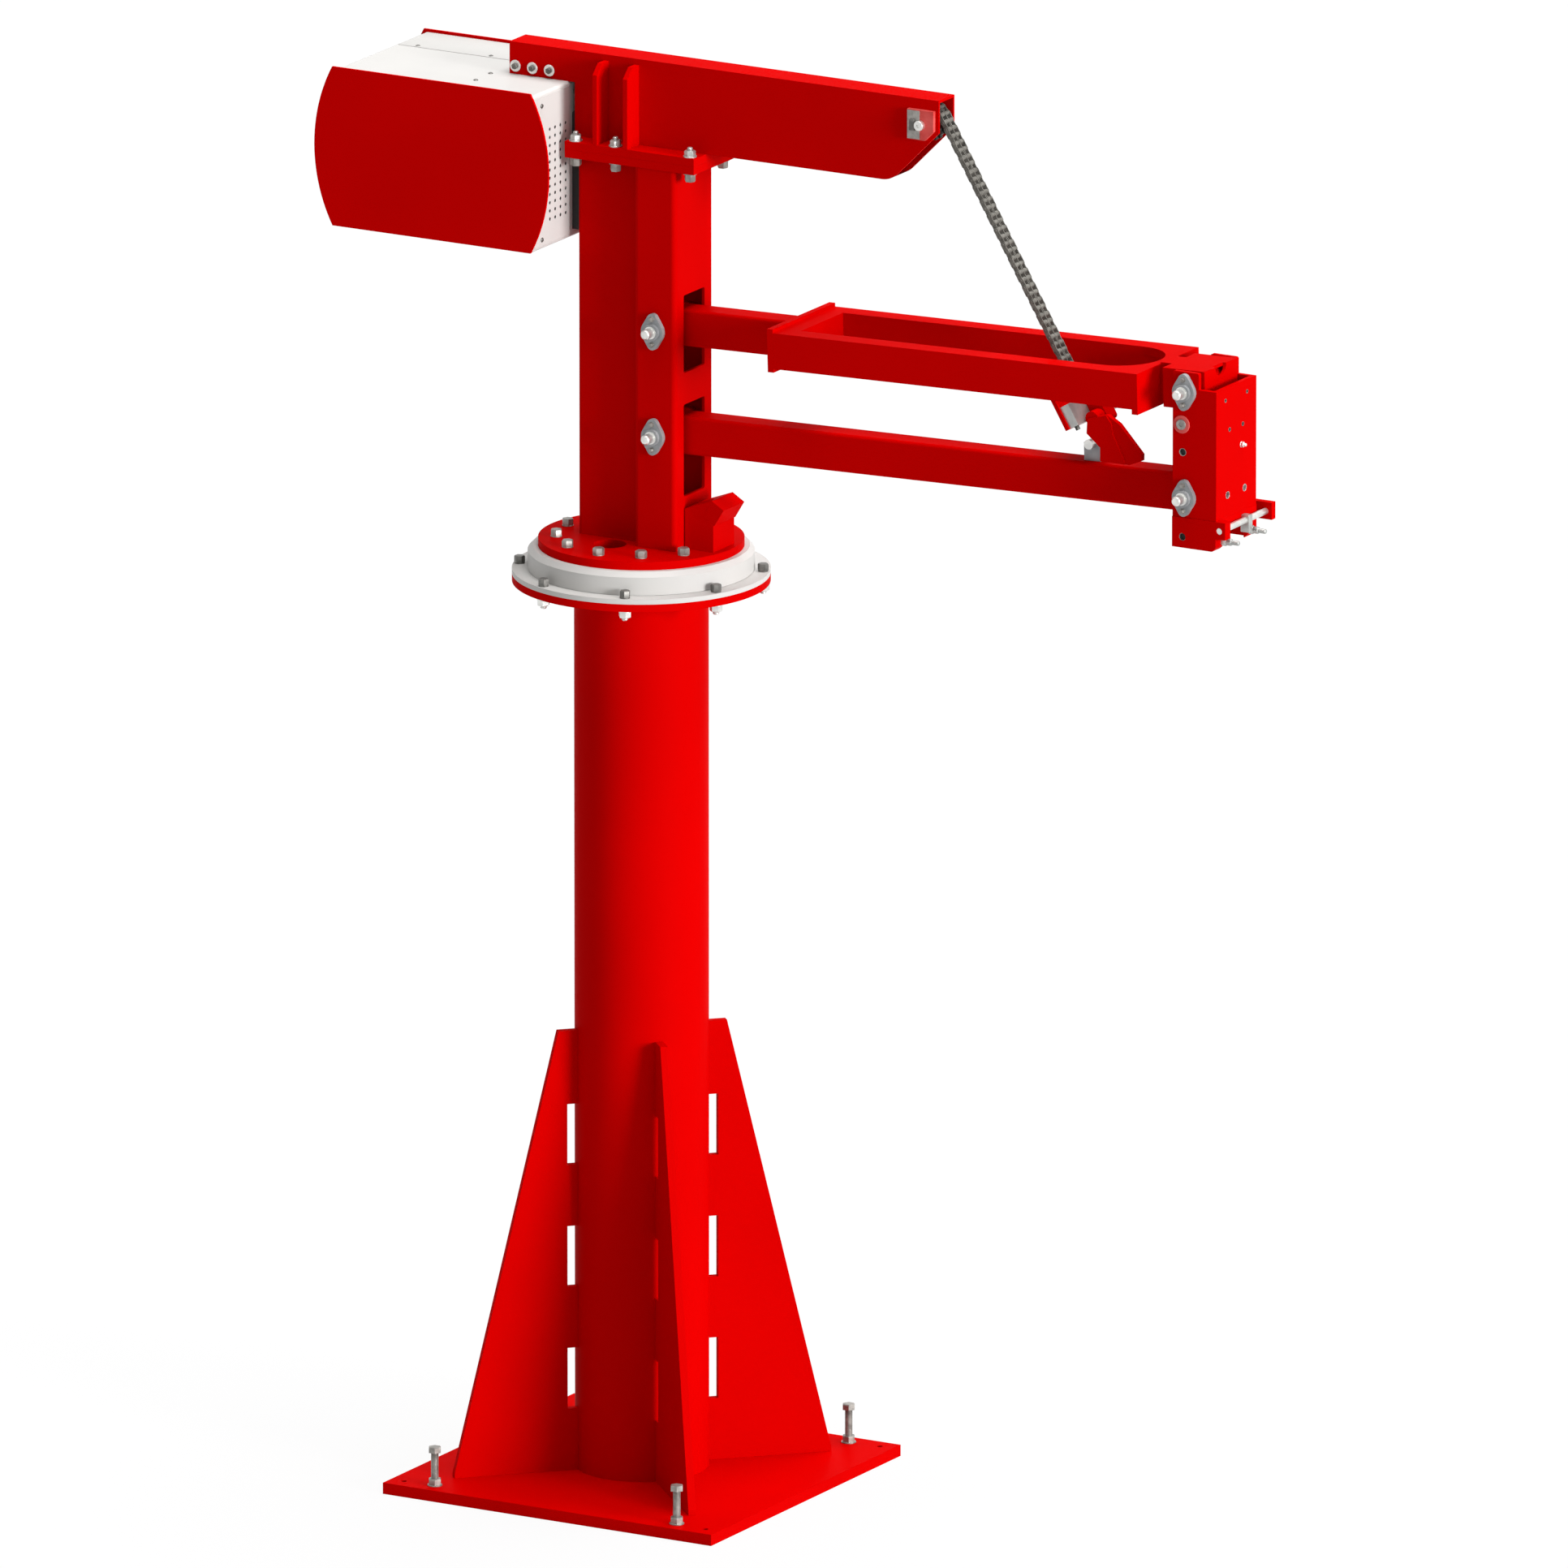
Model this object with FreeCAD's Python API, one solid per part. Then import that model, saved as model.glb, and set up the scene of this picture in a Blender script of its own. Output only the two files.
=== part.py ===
"""Articulating arm hoist on a floor column: a slewing mast carries a parallel lift arm
that a chain hoist raises over a boom tip sheave. Millimetres, +Z up, origin at the
centre of the base plate's underside, +X along the boom and the arms."""
import FreeCAD, Part
import math
import os

V = FreeCAD.Vector
X_AXIS = V(1, 0, 0)
Y_AXIS = V(0, 1, 0)
Z_AXIS = V(0, 0, 1)

# Fits
RUN_FIT = 0.05          # radial clearance of a pin in its bearing
OPEN_FIT = 0.10         # radial clearance at the pivot between lower arm and bracket
SLEW_GAP = 0.5          # running gap between the two halves of the slewing ring
CHAIN_FIT = 0.1         # clearance between a chain roller and its seat on the sheave

# Base plate and column
PLATE_SIDE = 914.4
PLATE_T = 28.0
CORNER_HOLE_EDGE = 37.2
CORNER_HOLE_R = 7.0
PIPE_R = 161.925
PIPE_WALL = 9.5
PIPE_TOP_Z = 2235.0
ANCHOR_EDGE_X = 120.2
ANCHOR_EDGE_Y = 43.2
ANCHOR_R = 9.5
ANCHOR_HOLE_R = 11.0
ANCHOR_HEX = 28.6
ANCHOR_HEAD_H = 14.0
ANCHOR_NUT_H = 13.0
ANCHOR_STAND = 97.0

# Column gussets with weld gaps beside the pipe
GUSSET_T = 19.0
GUSSET_FOOT_R = 470.0
GUSSET_TOP_R = 210.0
GUSSET_H = 1099.0
GUSSET_TOE_H = 12.0
NOTCH_DEPTH = 26.0
NOTCH_H = 152.4
NOTCH_PITCH = 304.8
NOTCH_FIRST = 154.0
NOTCH_COUNT = 3

# Slewing ring and turntable
FLANGE_R = 311.0
FLANGE_T = 19.0
RING_BORE_R = 170.0
RING_FIXED_H = 12.0
RING_TURN_R = 273.0
RING_TURN_H = 56.0
RING_TURN_CHAMFER = 12.0
DISC_R = 248.0
DISC_T = 20.0
CABLE_HOLE_X = -28.0
CABLE_HOLE_Y = -102.0
CABLE_HOLE_R = 40.0
DISC_BORE_R = 40.0

# Mast of two rectangular tubes
MAST_REAR_X = -147.0
REAR_DEPTH = 180.0
REAR_HALF_Y = 51.0
FRONT_DEPTH = 114.0
FRONT_HALF_Y = 91.0
MAST_WALL = 8.0
MAST_CORNER_R = 12.0
MAST_H = 939.0
SLOT_HALF_Y = 50.0
SLOT_CORNER_R = 6.0
UPPER_SLOT_DOWN = 106.0
UPPER_SLOT_UP = 86.0
LOWER_SLOT_DOWN = 152.0
LOWER_SLOT_UP = 76.0

# Parallel arms
ARM_LENGTH = 1465.0
ARM_TILT = 1.6
PIVOT_BACK = 58.0       # root pivots behind the mast's front face
UPPER_PIVOT_UP = 539.5  # upper root pivot above the turntable
PIVOT_SPACING = 260.0
ARM_H = 90.0
ARM_W = 70.0
ARM_WALL = 6.0
ARM_CORNER_R = 8.0
LOWER_ARM_H = 94.0
LOWER_ARM_DROP = 6.0    # lower tube's middle below its pivots
HUB_R = 38.0
HUB_HALF_Y = 76.0
PIN_R = 12.0
PIN_HOLE_R = 21.0
PIN_STAND = 47.0
HOLE_SIDES = 12

# Flange bearings with two bolts
BEARING_HALF_LENGTH = 31.5
BEARING_EAR_R = 13.5
BEARING_BODY_R = 30.0
BEARING_FLANGE_T = 12.0
BEARING_BOSS_R = 21.0
BEARING_BOSS_T = 8.0
BEARING_ARC_STEPS = 5
BOSS_SIDES = 16

# Upper arm's chain frame and head
FRAME_START = 347.0
FRAME_END_BACK = 102.0
FRAME_HALF_Y = 150.0
FRAME_PLATE_T = 16.0
FRAME_PLATE_H = 106.0
END_PLATE_DROP = 12.0
RAIL_W = 50.0
RAIL_H = 88.0
RAIL_WALL = 5.0
WEB_T = 20.0
WEB_LENGTH = 104.0
HEAD_NECK_LENGTH = 31.0
HEAD_NECK_HALF_Y = 34.0
HEAD_REACH = 43.0
HEAD_HALF_Y = 79.0
HEAD_H = 96.0
HEAD_WALL = 8.0
HEAD_NOTCH_R = 26.0

# Two-strand roller chain and its sheave in the boom's tip
CHAIN_PITCH = 19.05
CHAIN_H = 12.4
ROLLER_R = 5.95
ROLLER_SIDES = 8
ROLLER_HALF_Y = 6.4
INNER_PLATE_T = 2.5
MIDDLE_PLATE_T = 2.6
OUTER_PLATE_T = 2.4
BOOM_LINKS = 2
CHAIN_ENTRY_DOWN = 28.8   # chain's way into the hoist, below its top
SHEAVE_TEETH = 14
SHEAVE_SIDE_GAP = 0.8     # between a row of teeth and the plates beside it
SEAT_STEPS = 4
TOOTH_STAND = 4.2
TOOTH_TIP_TURN = 2.5
SHEAVE_HUB_R = 24.0
SHEAVE_HUB_HALF = 30.0
SHEAVE_FROM_TIP = 45.0
SHEAVE_FROM_TOP = 62.7
AXLE_R = 12.5
AXLE_STAND = 8.0
KEEPER_W = 72.0
KEEPER_H = 74.0
KEEPER_T = 10.0
KEEPER_CUT = 24.0

# Chain anchor under the upper arm's frame
ANCHOR_BACK = 205.8     # anchor behind the frame's outer end
ANCHOR_DOWN = 117.8     # anchor below the line of the upper pivots
HANGER_BACK = 14.0
HANGER_T = 10.0
HANGER_LAP = 26.0
LOAD_BLOCK_T = 26.0
LOAD_BLOCK_HALF_Y = 94.0
LOAD_BLOCK_LENGTH = 56.0
CLEVIS_CHEEK_T = 9.0
CLEVIS_SIDE_GAP = 0.8
CLEVIS_PIN_UP = 20.0    # least height of the clevis pin over the load block
CLEVIS_PIN_R = 3.2
CLEVIS_PIN_STAND = 6.0
CLEVIS_FLOOR = 5.0
LEVER_HALF_Y = 22.0
LEVER_DEPTH = 38.0
LEVER_TOP = 44.0
LEVER_DROP = 22.0
LEVER_CORNER_R = 9.5
LEVER_BOSS_R = 17.0
BLADE_Y = 45.0
BLADE_T = 14.0
BLADE_RIB_T = 5.0
BLADE_OUTLINE = ((22.0, 3.0), (74.0, -9.0), (93.0, -43.0), (112.0, -132.0), (104.0, -145.0),
                 (69.0, -140.0), (2.0, -100.0), (19.0, -71.0), (2.5, -26.0))
BLADE_RIB = ((22.0, 3.0), (74.0, -9.0), (76.0, -33.0), (67.0, -58.0), (61.5, -135.0),
             (2.0, -100.0), (19.0, -71.0), (2.5, -26.0))

# Stop parts on turntable and lower arm
STOP_POST_GAP = 3.0
STOP_POST_DEPTH = 78.5
STOP_POST_HALF_Y = 50.0
STOP_POST_FALL = 28.0
STOP_ANGLE = 31.5
STOP_GAP = 6.0
STOP_PAD_FROM = 195.0
STOP_PAD_L = 38.0
STOP_PAD_T = 48.0
LUG_FROM_END = 298.0
LUG_LENGTH = 46.0
LUG_HALF_Y = 16.0
LUG_H = 44.0
LUG_PIN_R = 12.0

# Top plates and boom
TOP_PLATE_T = 20.0
TOP_PLATE_REAR = 9.0
TOP_PLATE_FRONT = 54.0
TOP_PLATE_SIDE = 4.0
BOOM_HALF_Y = 38.1
BOOM_H = 211.2
BOOM_WALL = 6.0
BOOM_REACH = 696.0      # boom tip beyond the mast's front face
BOOM_TAIL = 167.0       # boom's rear end over the hoist
BOOM_TIP_CUT = 131.0
BOOM_TIP_R = 60.0
BOOM_NOTCH_GAP = 14.0   # boom's lower part clear of the hoist
BOOM_REAR_H = 79.0
RIB_FROM_REAR = (68.0, 152.0)
RIB_T = 12.0
RIB_H = 197.0
RIB_CUT = 25.0

# Hoist under the boom's rear end
HOIST_GAP = 28.0        # hoist behind the mast's rear tube
HOIST_LENGTH = 550.0
HOIST_HALF_Y = 214.0
HOIST_H = 386.0
HOIST_EDGE_R = 8.0
HOIST_WALL = 13.0
PANEL_T = 6.0
PANEL_BULGE = 50.0
PANEL_H = 393.0
PANEL_RISE = 3.5
PANEL_BACK = 4.0
HOIST_LUG_INSET = 6.0
HOIST_LUG_LENGTH = 121.0
HOIST_LUG_H = 42.0
HOIST_LUG_HALF_Y = 26.0
BACKING_HALF_Y = 27.0
BACKING_TOP_GAP = 10.0
BACKING_TOP_DOWN = 77.0
BACKING_FOOT_GAP = 20.0

# Tool bracket, placed from the arms' end pivots
BRACKET_BACK = 34.4
BRACKET_DEPTH = 119.0
BRACKET_HALF_Y = 97.0
BRACKET_WALL = 12.0
BRACKET_FACE_UP = 8.0
BRACKET_EAR_UP = 48.0
BRACKET_EAR_REACH = 36.6
BRACKET_EAR_R = 5.0
BRACKET_FOOT_DOWN = 123.6
COLLAR_H = 74.0
COLLAR_CHEEK_T = 24.0
COLLAR_CORNER_R = 10.0
APRON_ARCH_R = 58.0
LUG_REACH = 26.0
LUG_DROP = 42.0
FAR_LUG_OUT = 30.0
FAR_LUG_T = 18.0
FORK_PIN_R = 8.0
FORK_PIN_REACH = 9.0
FORK_PIN_DOWN = 22.0
SPARE_HOLE_BACK = 7.0
SPARE_HOLE_DOWN = 149.6
COLLAR_HOLE_UP = 26.0
SPARE_HOLE_R = 9.5
FACE_HOLES = ((52.0, 21.6, 5.0), (32.0, 96.6, 5.5), (41.0, 255.6, 9.0))

# Levels and places that follow from the sizes above
RING_Z = PIPE_TOP_Z + FLANGE_T
TURN_Z = RING_Z + RING_FIXED_H + SLEW_GAP
DISC_Z = TURN_Z + RING_TURN_H
MAST_Z = DISC_Z + DISC_T
MAST_TOP_Z = MAST_Z + MAST_H
MAST_MID_X = MAST_REAR_X + REAR_DEPTH
MAST_FRONT_X = MAST_MID_X + FRONT_DEPTH
BOOM_Z = MAST_TOP_Z + 2 * TOP_PLATE_T
BOOM_TOP_Z = BOOM_Z + BOOM_H
BOOM_X1 = MAST_FRONT_X + BOOM_REACH
HOIST_X1 = MAST_REAR_X - HOIST_GAP
HOIST_X0 = HOIST_X1 - HOIST_LENGTH
HOIST_TOP_Z = BOOM_TOP_Z - BOOM_REAR_H
BOOM_X0 = HOIST_X1 - BOOM_TAIL
PIVOT_X = MAST_FRONT_X - PIVOT_BACK
UPPER_PIVOT_Z = MAST_Z + UPPER_PIVOT_UP
LOWER_PIVOT_Z = UPPER_PIVOT_Z - PIVOT_SPACING
END_X = PIVOT_X + ARM_LENGTH * math.cos(math.radians(ARM_TILT))
END_Z = UPPER_PIVOT_Z + ARM_LENGTH * math.sin(math.radians(ARM_TILT))
FRAME_END = ARM_LENGTH - FRAME_END_BACK
LOWER_ARM_TOP = LOWER_ARM_H / 2 - LOWER_ARM_DROP
LOWER_ARM_LOW = -LOWER_ARM_H / 2 - LOWER_ARM_DROP
STOP_FACE = LOWER_ARM_LOW - STOP_GAP
HEAD_END = ARM_LENGTH + HEAD_REACH
SHEAVE_X = BOOM_X1 - SHEAVE_FROM_TIP
SHEAVE_Z = BOOM_TOP_Z - SHEAVE_FROM_TOP
SHEAVE_PITCH_R = CHAIN_PITCH / (2 * math.sin(math.pi / SHEAVE_TEETH))
SHEAVE_STEP = 360.0 / SHEAVE_TEETH
STRAND_Y = MIDDLE_PLATE_T / 2 + INNER_PLATE_T + ROLLER_HALF_Y
OUTER_PLATE_Y = STRAND_Y + ROLLER_HALF_Y + INNER_PLATE_T
CHAIN_HALF_Y = OUTER_PLATE_Y + OUTER_PLATE_T
CLEVIS_GAP_HALF = CHAIN_HALF_Y + CLEVIS_SIDE_GAP
BRACKET_X0 = END_X - BRACKET_BACK
BRACKET_X1 = BRACKET_X0 + BRACKET_DEPTH
BRACKET_Z0 = END_Z - PIVOT_SPACING - BRACKET_FOOT_DOWN
COLLAR_TOP_Z = BRACKET_Z0 + COLLAR_H
FORK_PIN_X = BRACKET_X1 + FORK_PIN_REACH
FORK_PIN_Z = COLLAR_TOP_Z - FORK_PIN_DOWN


def box(x0, x1, y0, y1, z0, z1):
    return Part.makeBox(x1 - x0, y1 - y0, z1 - z0, V(x0, y0, z0))


def rod(radius, start, end):
    return Part.makeCylinder(radius, (end - start).Length, start, end - start)


def rod_y(radius, x, z, y0, y1):
    return rod(radius, V(x, y0, z), V(x, y1, z))


def rod_z(radius, x, y, z0, z1):
    return rod(radius, V(x, y, z0), V(x, y, z1))


def mirrored_y(shape):
    return shape.mirror(V(0, 0, 0), Y_AXIS)


def both_sides(shape):
    return Part.makeCompound([shape, mirrored_y(shape)])


def edges_along(shape, axis):
    """Straight edges of a shape that run along an axis."""
    found = []
    for edge in shape.Edges:
        if len(edge.Vertexes) != 2:
            continue
        run = edge.Vertexes[1].Point - edge.Vertexes[0].Point
        if run.Length > 0 and run.cross(axis).Length < 1e-6 * run.Length:
            found.append(edge)
    return found


def rounded_box(x0, x1, y0, y1, z0, z1, axis, radius):
    block = box(x0, x1, y0, y1, z0, z1)
    return block.makeFillet(radius, edges_along(block, axis))


def polygon_prism(points, direction):
    face = Part.Face(Part.makePolygon(points + [points[0]]))
    return face.extrude(direction)


def polygon_rod_y(radius, sides, x, z, y0, y1):
    turns = [2 * math.pi * k / sides for k in range(sides)]
    points = [V(x + radius * math.cos(turn), y0, z + radius * math.sin(turn)) for turn in turns]
    return polygon_prism(points, V(0, y1 - y0, 0))


def polygon_rod_z(radius, sides, x, y, z0, z1):
    turns = [2 * math.pi * k / sides for k in range(sides)]
    points = [V(x + radius * math.cos(turn), y + radius * math.sin(turn), z0) for turn in turns]
    return polygon_prism(points, V(0, 0, z1 - z0))


def hexagon(width, x, y, z, height):
    return polygon_rod_z(width / math.sqrt(3), 6, x, y, z, z + height)


def on_arm(shape, pivot_z):
    """Turn a shape drawn along +X from a pivot at the origin to the arm's rest tilt."""
    placed = shape.copy()
    placed.rotate(V(0, 0, 0), Y_AXIS, -ARM_TILT)
    placed.translate(V(PIVOT_X, 0, pivot_z))
    return placed


def make_base_plate():
    half = PLATE_SIDE / 2
    corner = half - CORNER_HOLE_EDGE
    plate = box(-half, half, -half, half, 0, PLATE_T)
    for sx in (-1, 1):
        for sy in (-1, 1):
            plate = plate.cut(rod_z(CORNER_HOLE_R, sx * corner, sy * corner, -1, PLATE_T + 1))
            plate = plate.cut(polygon_rod_z(ANCHOR_HOLE_R, HOLE_SIDES, sx * (half - ANCHOR_EDGE_X),
                                            sy * (half - ANCHOR_EDGE_Y), -1, PLATE_T + 1))
    return plate


def make_anchor_bolt(x, y):
    """Stud through the plate, with a nut on the plate and a hexagon head at its top."""
    top = PLATE_T + ANCHOR_STAND
    bolt = polygon_rod_z(ANCHOR_R, HOLE_SIDES, x, y, 0, top - ANCHOR_HEAD_H)
    bolt = bolt.fuse(hexagon(ANCHOR_HEX, x, y, PLATE_T, ANCHOR_NUT_H))
    return bolt.fuse(hexagon(ANCHOR_HEX, x, y, top - ANCHOR_HEAD_H, ANCHOR_HEAD_H))


def make_anchor_bolts():
    x = PLATE_SIDE / 2 - ANCHOR_EDGE_X
    y = PLATE_SIDE / 2 - ANCHOR_EDGE_Y
    return Part.makeCompound([make_anchor_bolt(sx * x, sy * y) for sx in (-1, 1) for sy in (-1, 1)])


def make_column_pipe():
    outer = rod_z(PIPE_R, 0, 0, PLATE_T, PIPE_TOP_Z)
    return outer.cut(rod_z(PIPE_R - PIPE_WALL, 0, 0, PLATE_T - 1, PIPE_TOP_Z + 1))


def make_gusset():
    half = GUSSET_T / 2
    inside = PIPE_R / 2
    top = PLATE_T + GUSSET_H
    outline = [V(inside, -half, PLATE_T), V(GUSSET_FOOT_R, -half, PLATE_T),
               V(GUSSET_FOOT_R, -half, PLATE_T + GUSSET_TOE_H), V(GUSSET_TOP_R, -half, top),
               V(inside, -half, top)]
    plate = polygon_prism(outline, V(0, GUSSET_T, 0))
    plate = plate.cut(rod_z(PIPE_R, 0, 0, PLATE_T - 1, top + 1))
    for k in range(NOTCH_COUNT):
        low = PLATE_T + NOTCH_FIRST + k * NOTCH_PITCH
        plate = plate.cut(box(inside, PIPE_R + NOTCH_DEPTH, -GUSSET_T, GUSSET_T, low, low + NOTCH_H))
    return plate


def make_column_gussets():
    gussets = []
    for k in range(4):
        gusset = make_gusset()
        gusset.rotate(V(0, 0, 0), Z_AXIS, 45 + 90 * k)
        gussets.append(gusset)
    return Part.makeCompound(gussets)


def make_ring(radius, bore, z, height):
    return rod_z(radius, 0, 0, z, z + height).cut(rod_z(bore, 0, 0, z - 1, z + height + 1))


def make_turning_ring():
    """Upper half of the slewing ring, chamfered round its top."""
    ring = make_ring(RING_TURN_R, RING_BORE_R, TURN_Z, RING_TURN_H)
    rim = [e for e in ring.Edges if isinstance(e.Curve, Part.Circle) and e.Curve.Radius > RING_BORE_R + 1
           and e.CenterOfMass.z > DISC_Z - 1]
    return ring.makeChamfer(RING_TURN_CHAMFER, rim)


def make_turntable_disc():
    disc = make_ring(DISC_R, DISC_BORE_R, DISC_Z, DISC_T)
    return disc.cut(rod_z(CABLE_HOLE_R, CABLE_HOLE_X, CABLE_HOLE_Y, DISC_Z - 1, MAST_Z + 1))


def make_rect_tube(x0, x1, half_y, z0, z1):
    outer = rounded_box(x0, x1, -half_y, half_y, z0, z1, Z_AXIS, MAST_CORNER_R)
    inner = rounded_box(x0 + MAST_WALL, x1 - MAST_WALL, MAST_WALL - half_y, half_y - MAST_WALL,
                        z0 - 1, z1 + 1, Z_AXIS, max(MAST_CORNER_R - MAST_WALL, 1))
    return outer.cut(inner)


def make_mast_front_tube():
    tube = make_rect_tube(MAST_MID_X, MAST_FRONT_X, FRONT_HALF_Y, MAST_Z, MAST_TOP_Z)
    slots = ((UPPER_PIVOT_Z, UPPER_SLOT_DOWN, UPPER_SLOT_UP),
             (LOWER_PIVOT_Z, LOWER_SLOT_DOWN, LOWER_SLOT_UP))
    for pivot_z, down, up in slots:
        tube = tube.cut(rounded_box(PIVOT_X, MAST_FRONT_X + 1, -SLOT_HALF_Y, SLOT_HALF_Y,
                                    pivot_z - down, pivot_z + up, X_AXIS, SLOT_CORNER_R))
        tube = tube.cut(polygon_rod_y(PIN_HOLE_R, HOLE_SIDES, PIVOT_X, pivot_z,
                                      -FRONT_HALF_Y - 1, FRONT_HALF_Y + 1))
    return tube


def arc_points(x, z, radius, start, end, steps):
    """Points in the plane y = 0 on an arc between two angles in degrees."""
    turns = [math.radians(start + (end - start) * k / steps) for k in range(steps + 1)]
    return [V(x + radius * math.cos(turn), 0, z + radius * math.sin(turn)) for turn in turns]


def make_flange_bearing(x, face_y, z, bore_r):
    """Two-bolt bearing on the side face at -face_y, with its long axis upright."""
    lean = math.degrees(math.asin((BEARING_BODY_R - BEARING_EAR_R) / BEARING_HALF_LENGTH))
    steps = BEARING_ARC_STEPS
    outline = arc_points(0, 0, BEARING_BODY_R, -lean, lean, steps)
    outline += arc_points(0, BEARING_HALF_LENGTH, BEARING_EAR_R, lean, 180 - lean, steps)
    outline += arc_points(0, 0, BEARING_BODY_R, 180 - lean, 180 + lean, steps)
    outline += arc_points(0, -BEARING_HALF_LENGTH, BEARING_EAR_R, 180 + lean, 360 - lean, steps)
    flange = polygon_prism(outline, V(0, -BEARING_FLANGE_T, 0))
    depth = BEARING_FLANGE_T + BEARING_BOSS_T
    bearing = flange.fuse(polygon_rod_y(BEARING_BOSS_R, BOSS_SIDES, 0, 0, -depth, -BEARING_FLANGE_T))
    bearing = bearing.cut(rod_y(bore_r, 0, 0, -depth - 1, 1))
    bearing.translate(V(x, -face_y, z))
    return bearing


def make_bearing_set(x, face_y, upper_z, upper_fit, lower_fit):
    bearings = []
    for z, fit in ((upper_z, upper_fit), (upper_z - PIVOT_SPACING, lower_fit)):
        near = make_flange_bearing(x, face_y, z, PIN_R + fit)
        bearings += [near, mirrored_y(near)]
    return Part.makeCompound(bearings)


def make_pin(along, face_y):
    reach = face_y + PIN_STAND
    return rod_y(PIN_R, along, 0, -reach, reach)


def make_pin_pair(pivot_z):
    return on_arm(Part.makeCompound([make_pin(0, FRONT_HALF_Y), make_pin(ARM_LENGTH, BRACKET_HALF_Y)]),
                  pivot_z)


def make_arm_tube(length, low, high, hubs):
    """Square-ended tube from the pivot at the origin, with a cross hub at each pivot named."""
    outer = rounded_box(0, length, -ARM_W / 2, ARM_W / 2, low, high, X_AXIS, ARM_CORNER_R)
    inner = rounded_box(-1, length + 1, ARM_WALL - ARM_W / 2, ARM_W / 2 - ARM_WALL,
                        low + ARM_WALL, high - ARM_WALL, X_AXIS, ARM_CORNER_R - ARM_WALL)
    tube = outer.cut(inner)
    for along in hubs:
        tube = tube.fuse(rod_y(HUB_R, along, 0, -HUB_HALF_Y, HUB_HALF_Y))
    for along in hubs:
        tube = tube.cut(rod_y(PIN_R + RUN_FIT, along, 0, -HUB_HALF_Y - 1, HUB_HALF_Y + 1))
    return tube


def make_upper_arm_tube():
    return on_arm(make_arm_tube(FRAME_START, -ARM_H / 2, ARM_H / 2, (0,)), UPPER_PIVOT_Z)


def make_lower_arm_tube():
    return on_arm(make_arm_tube(ARM_LENGTH, LOWER_ARM_LOW, LOWER_ARM_TOP, (0, ARM_LENGTH)), LOWER_PIVOT_Z)


def make_frame_end_plates():
    half_h = FRAME_PLATE_H / 2
    inner = box(FRAME_START, FRAME_START + FRAME_PLATE_T, -FRAME_HALF_Y, FRAME_HALF_Y, -half_h, half_h)
    outer = box(FRAME_END - FRAME_PLATE_T, FRAME_END, -FRAME_HALF_Y, FRAME_HALF_Y,
                -RAIL_H / 2 - END_PLATE_DROP, RAIL_H / 2)
    return on_arm(Part.makeCompound([inner, outer]), UPPER_PIVOT_Z)


def make_frame_rails():
    x0 = FRAME_START + FRAME_PLATE_T
    x1 = FRAME_END - FRAME_PLATE_T
    outer = box(x0, x1, -FRAME_HALF_Y, RAIL_W - FRAME_HALF_Y, -RAIL_H / 2, RAIL_H / 2)
    inner = box(x0 - 1, x1 + 1, RAIL_WALL - FRAME_HALF_Y, RAIL_W - RAIL_WALL - FRAME_HALF_Y,
                RAIL_WALL - RAIL_H / 2, RAIL_H / 2 - RAIL_WALL)
    return on_arm(both_sides(outer.cut(inner)), UPPER_PIVOT_Z)


def make_frame_webs():
    """Cross tube at the inner end, and the round-edged plate that ends the chain slot."""
    half_y = FRAME_HALF_Y - RAIL_W
    top = RAIL_H / 2
    x0 = FRAME_START + FRAME_PLATE_T
    x1 = FRAME_END - FRAME_PLATE_T
    tube = box(x0, x0 + RAIL_W, -half_y, half_y, -top, top)
    tube = tube.cut(box(x0 + RAIL_WALL, x0 + RAIL_W - RAIL_WALL, -half_y - 1, half_y + 1,
                        RAIL_WALL - top, top - RAIL_WALL))
    web = box(x1 - WEB_LENGTH, x1, -half_y, half_y, top - WEB_T, top)
    web = web.cut(rod_z(half_y - 1, x1 - WEB_LENGTH, 0, top - WEB_T - 1, top + 1))
    return on_arm(Part.makeCompound([tube, web]), UPPER_PIVOT_Z)


def make_arm_head():
    half_h = HEAD_H / 2
    root = FRAME_END + HEAD_NECK_LENGTH
    block = box(root, HEAD_END, -HEAD_HALF_Y, HEAD_HALF_Y, -half_h, half_h)
    hollow = box(root + HEAD_WALL, HEAD_END - HEAD_WALL, HEAD_WALL - HEAD_HALF_Y, HEAD_HALF_Y - HEAD_WALL,
                 HEAD_WALL - half_h, half_h - HEAD_WALL)
    neck = box(FRAME_END, root, -HEAD_NECK_HALF_Y, HEAD_NECK_HALF_Y, -half_h, half_h)
    bore = box(FRAME_END - 1, root, HEAD_WALL - HEAD_NECK_HALF_Y, HEAD_NECK_HALF_Y - HEAD_WALL,
               HEAD_WALL - half_h, half_h - HEAD_WALL)
    head = block.cut(hollow).fuse(neck.cut(bore))
    hub = rod_y(HUB_R, ARM_LENGTH, 0, HEAD_WALL - HEAD_HALF_Y, HEAD_HALF_Y - HEAD_WALL)
    head = head.fuse(hub)
    head = head.cut(rod_y(PIN_R + RUN_FIT, ARM_LENGTH, 0, -HEAD_HALF_Y - 1, HEAD_HALF_Y + 1))
    notch = rod(HEAD_NOTCH_R, V(HEAD_END - HEAD_WALL - 1, 0, half_h), V(HEAD_END + 1, 0, half_h))
    return on_arm(head.cut(notch), UPPER_PIVOT_Z)


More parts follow.
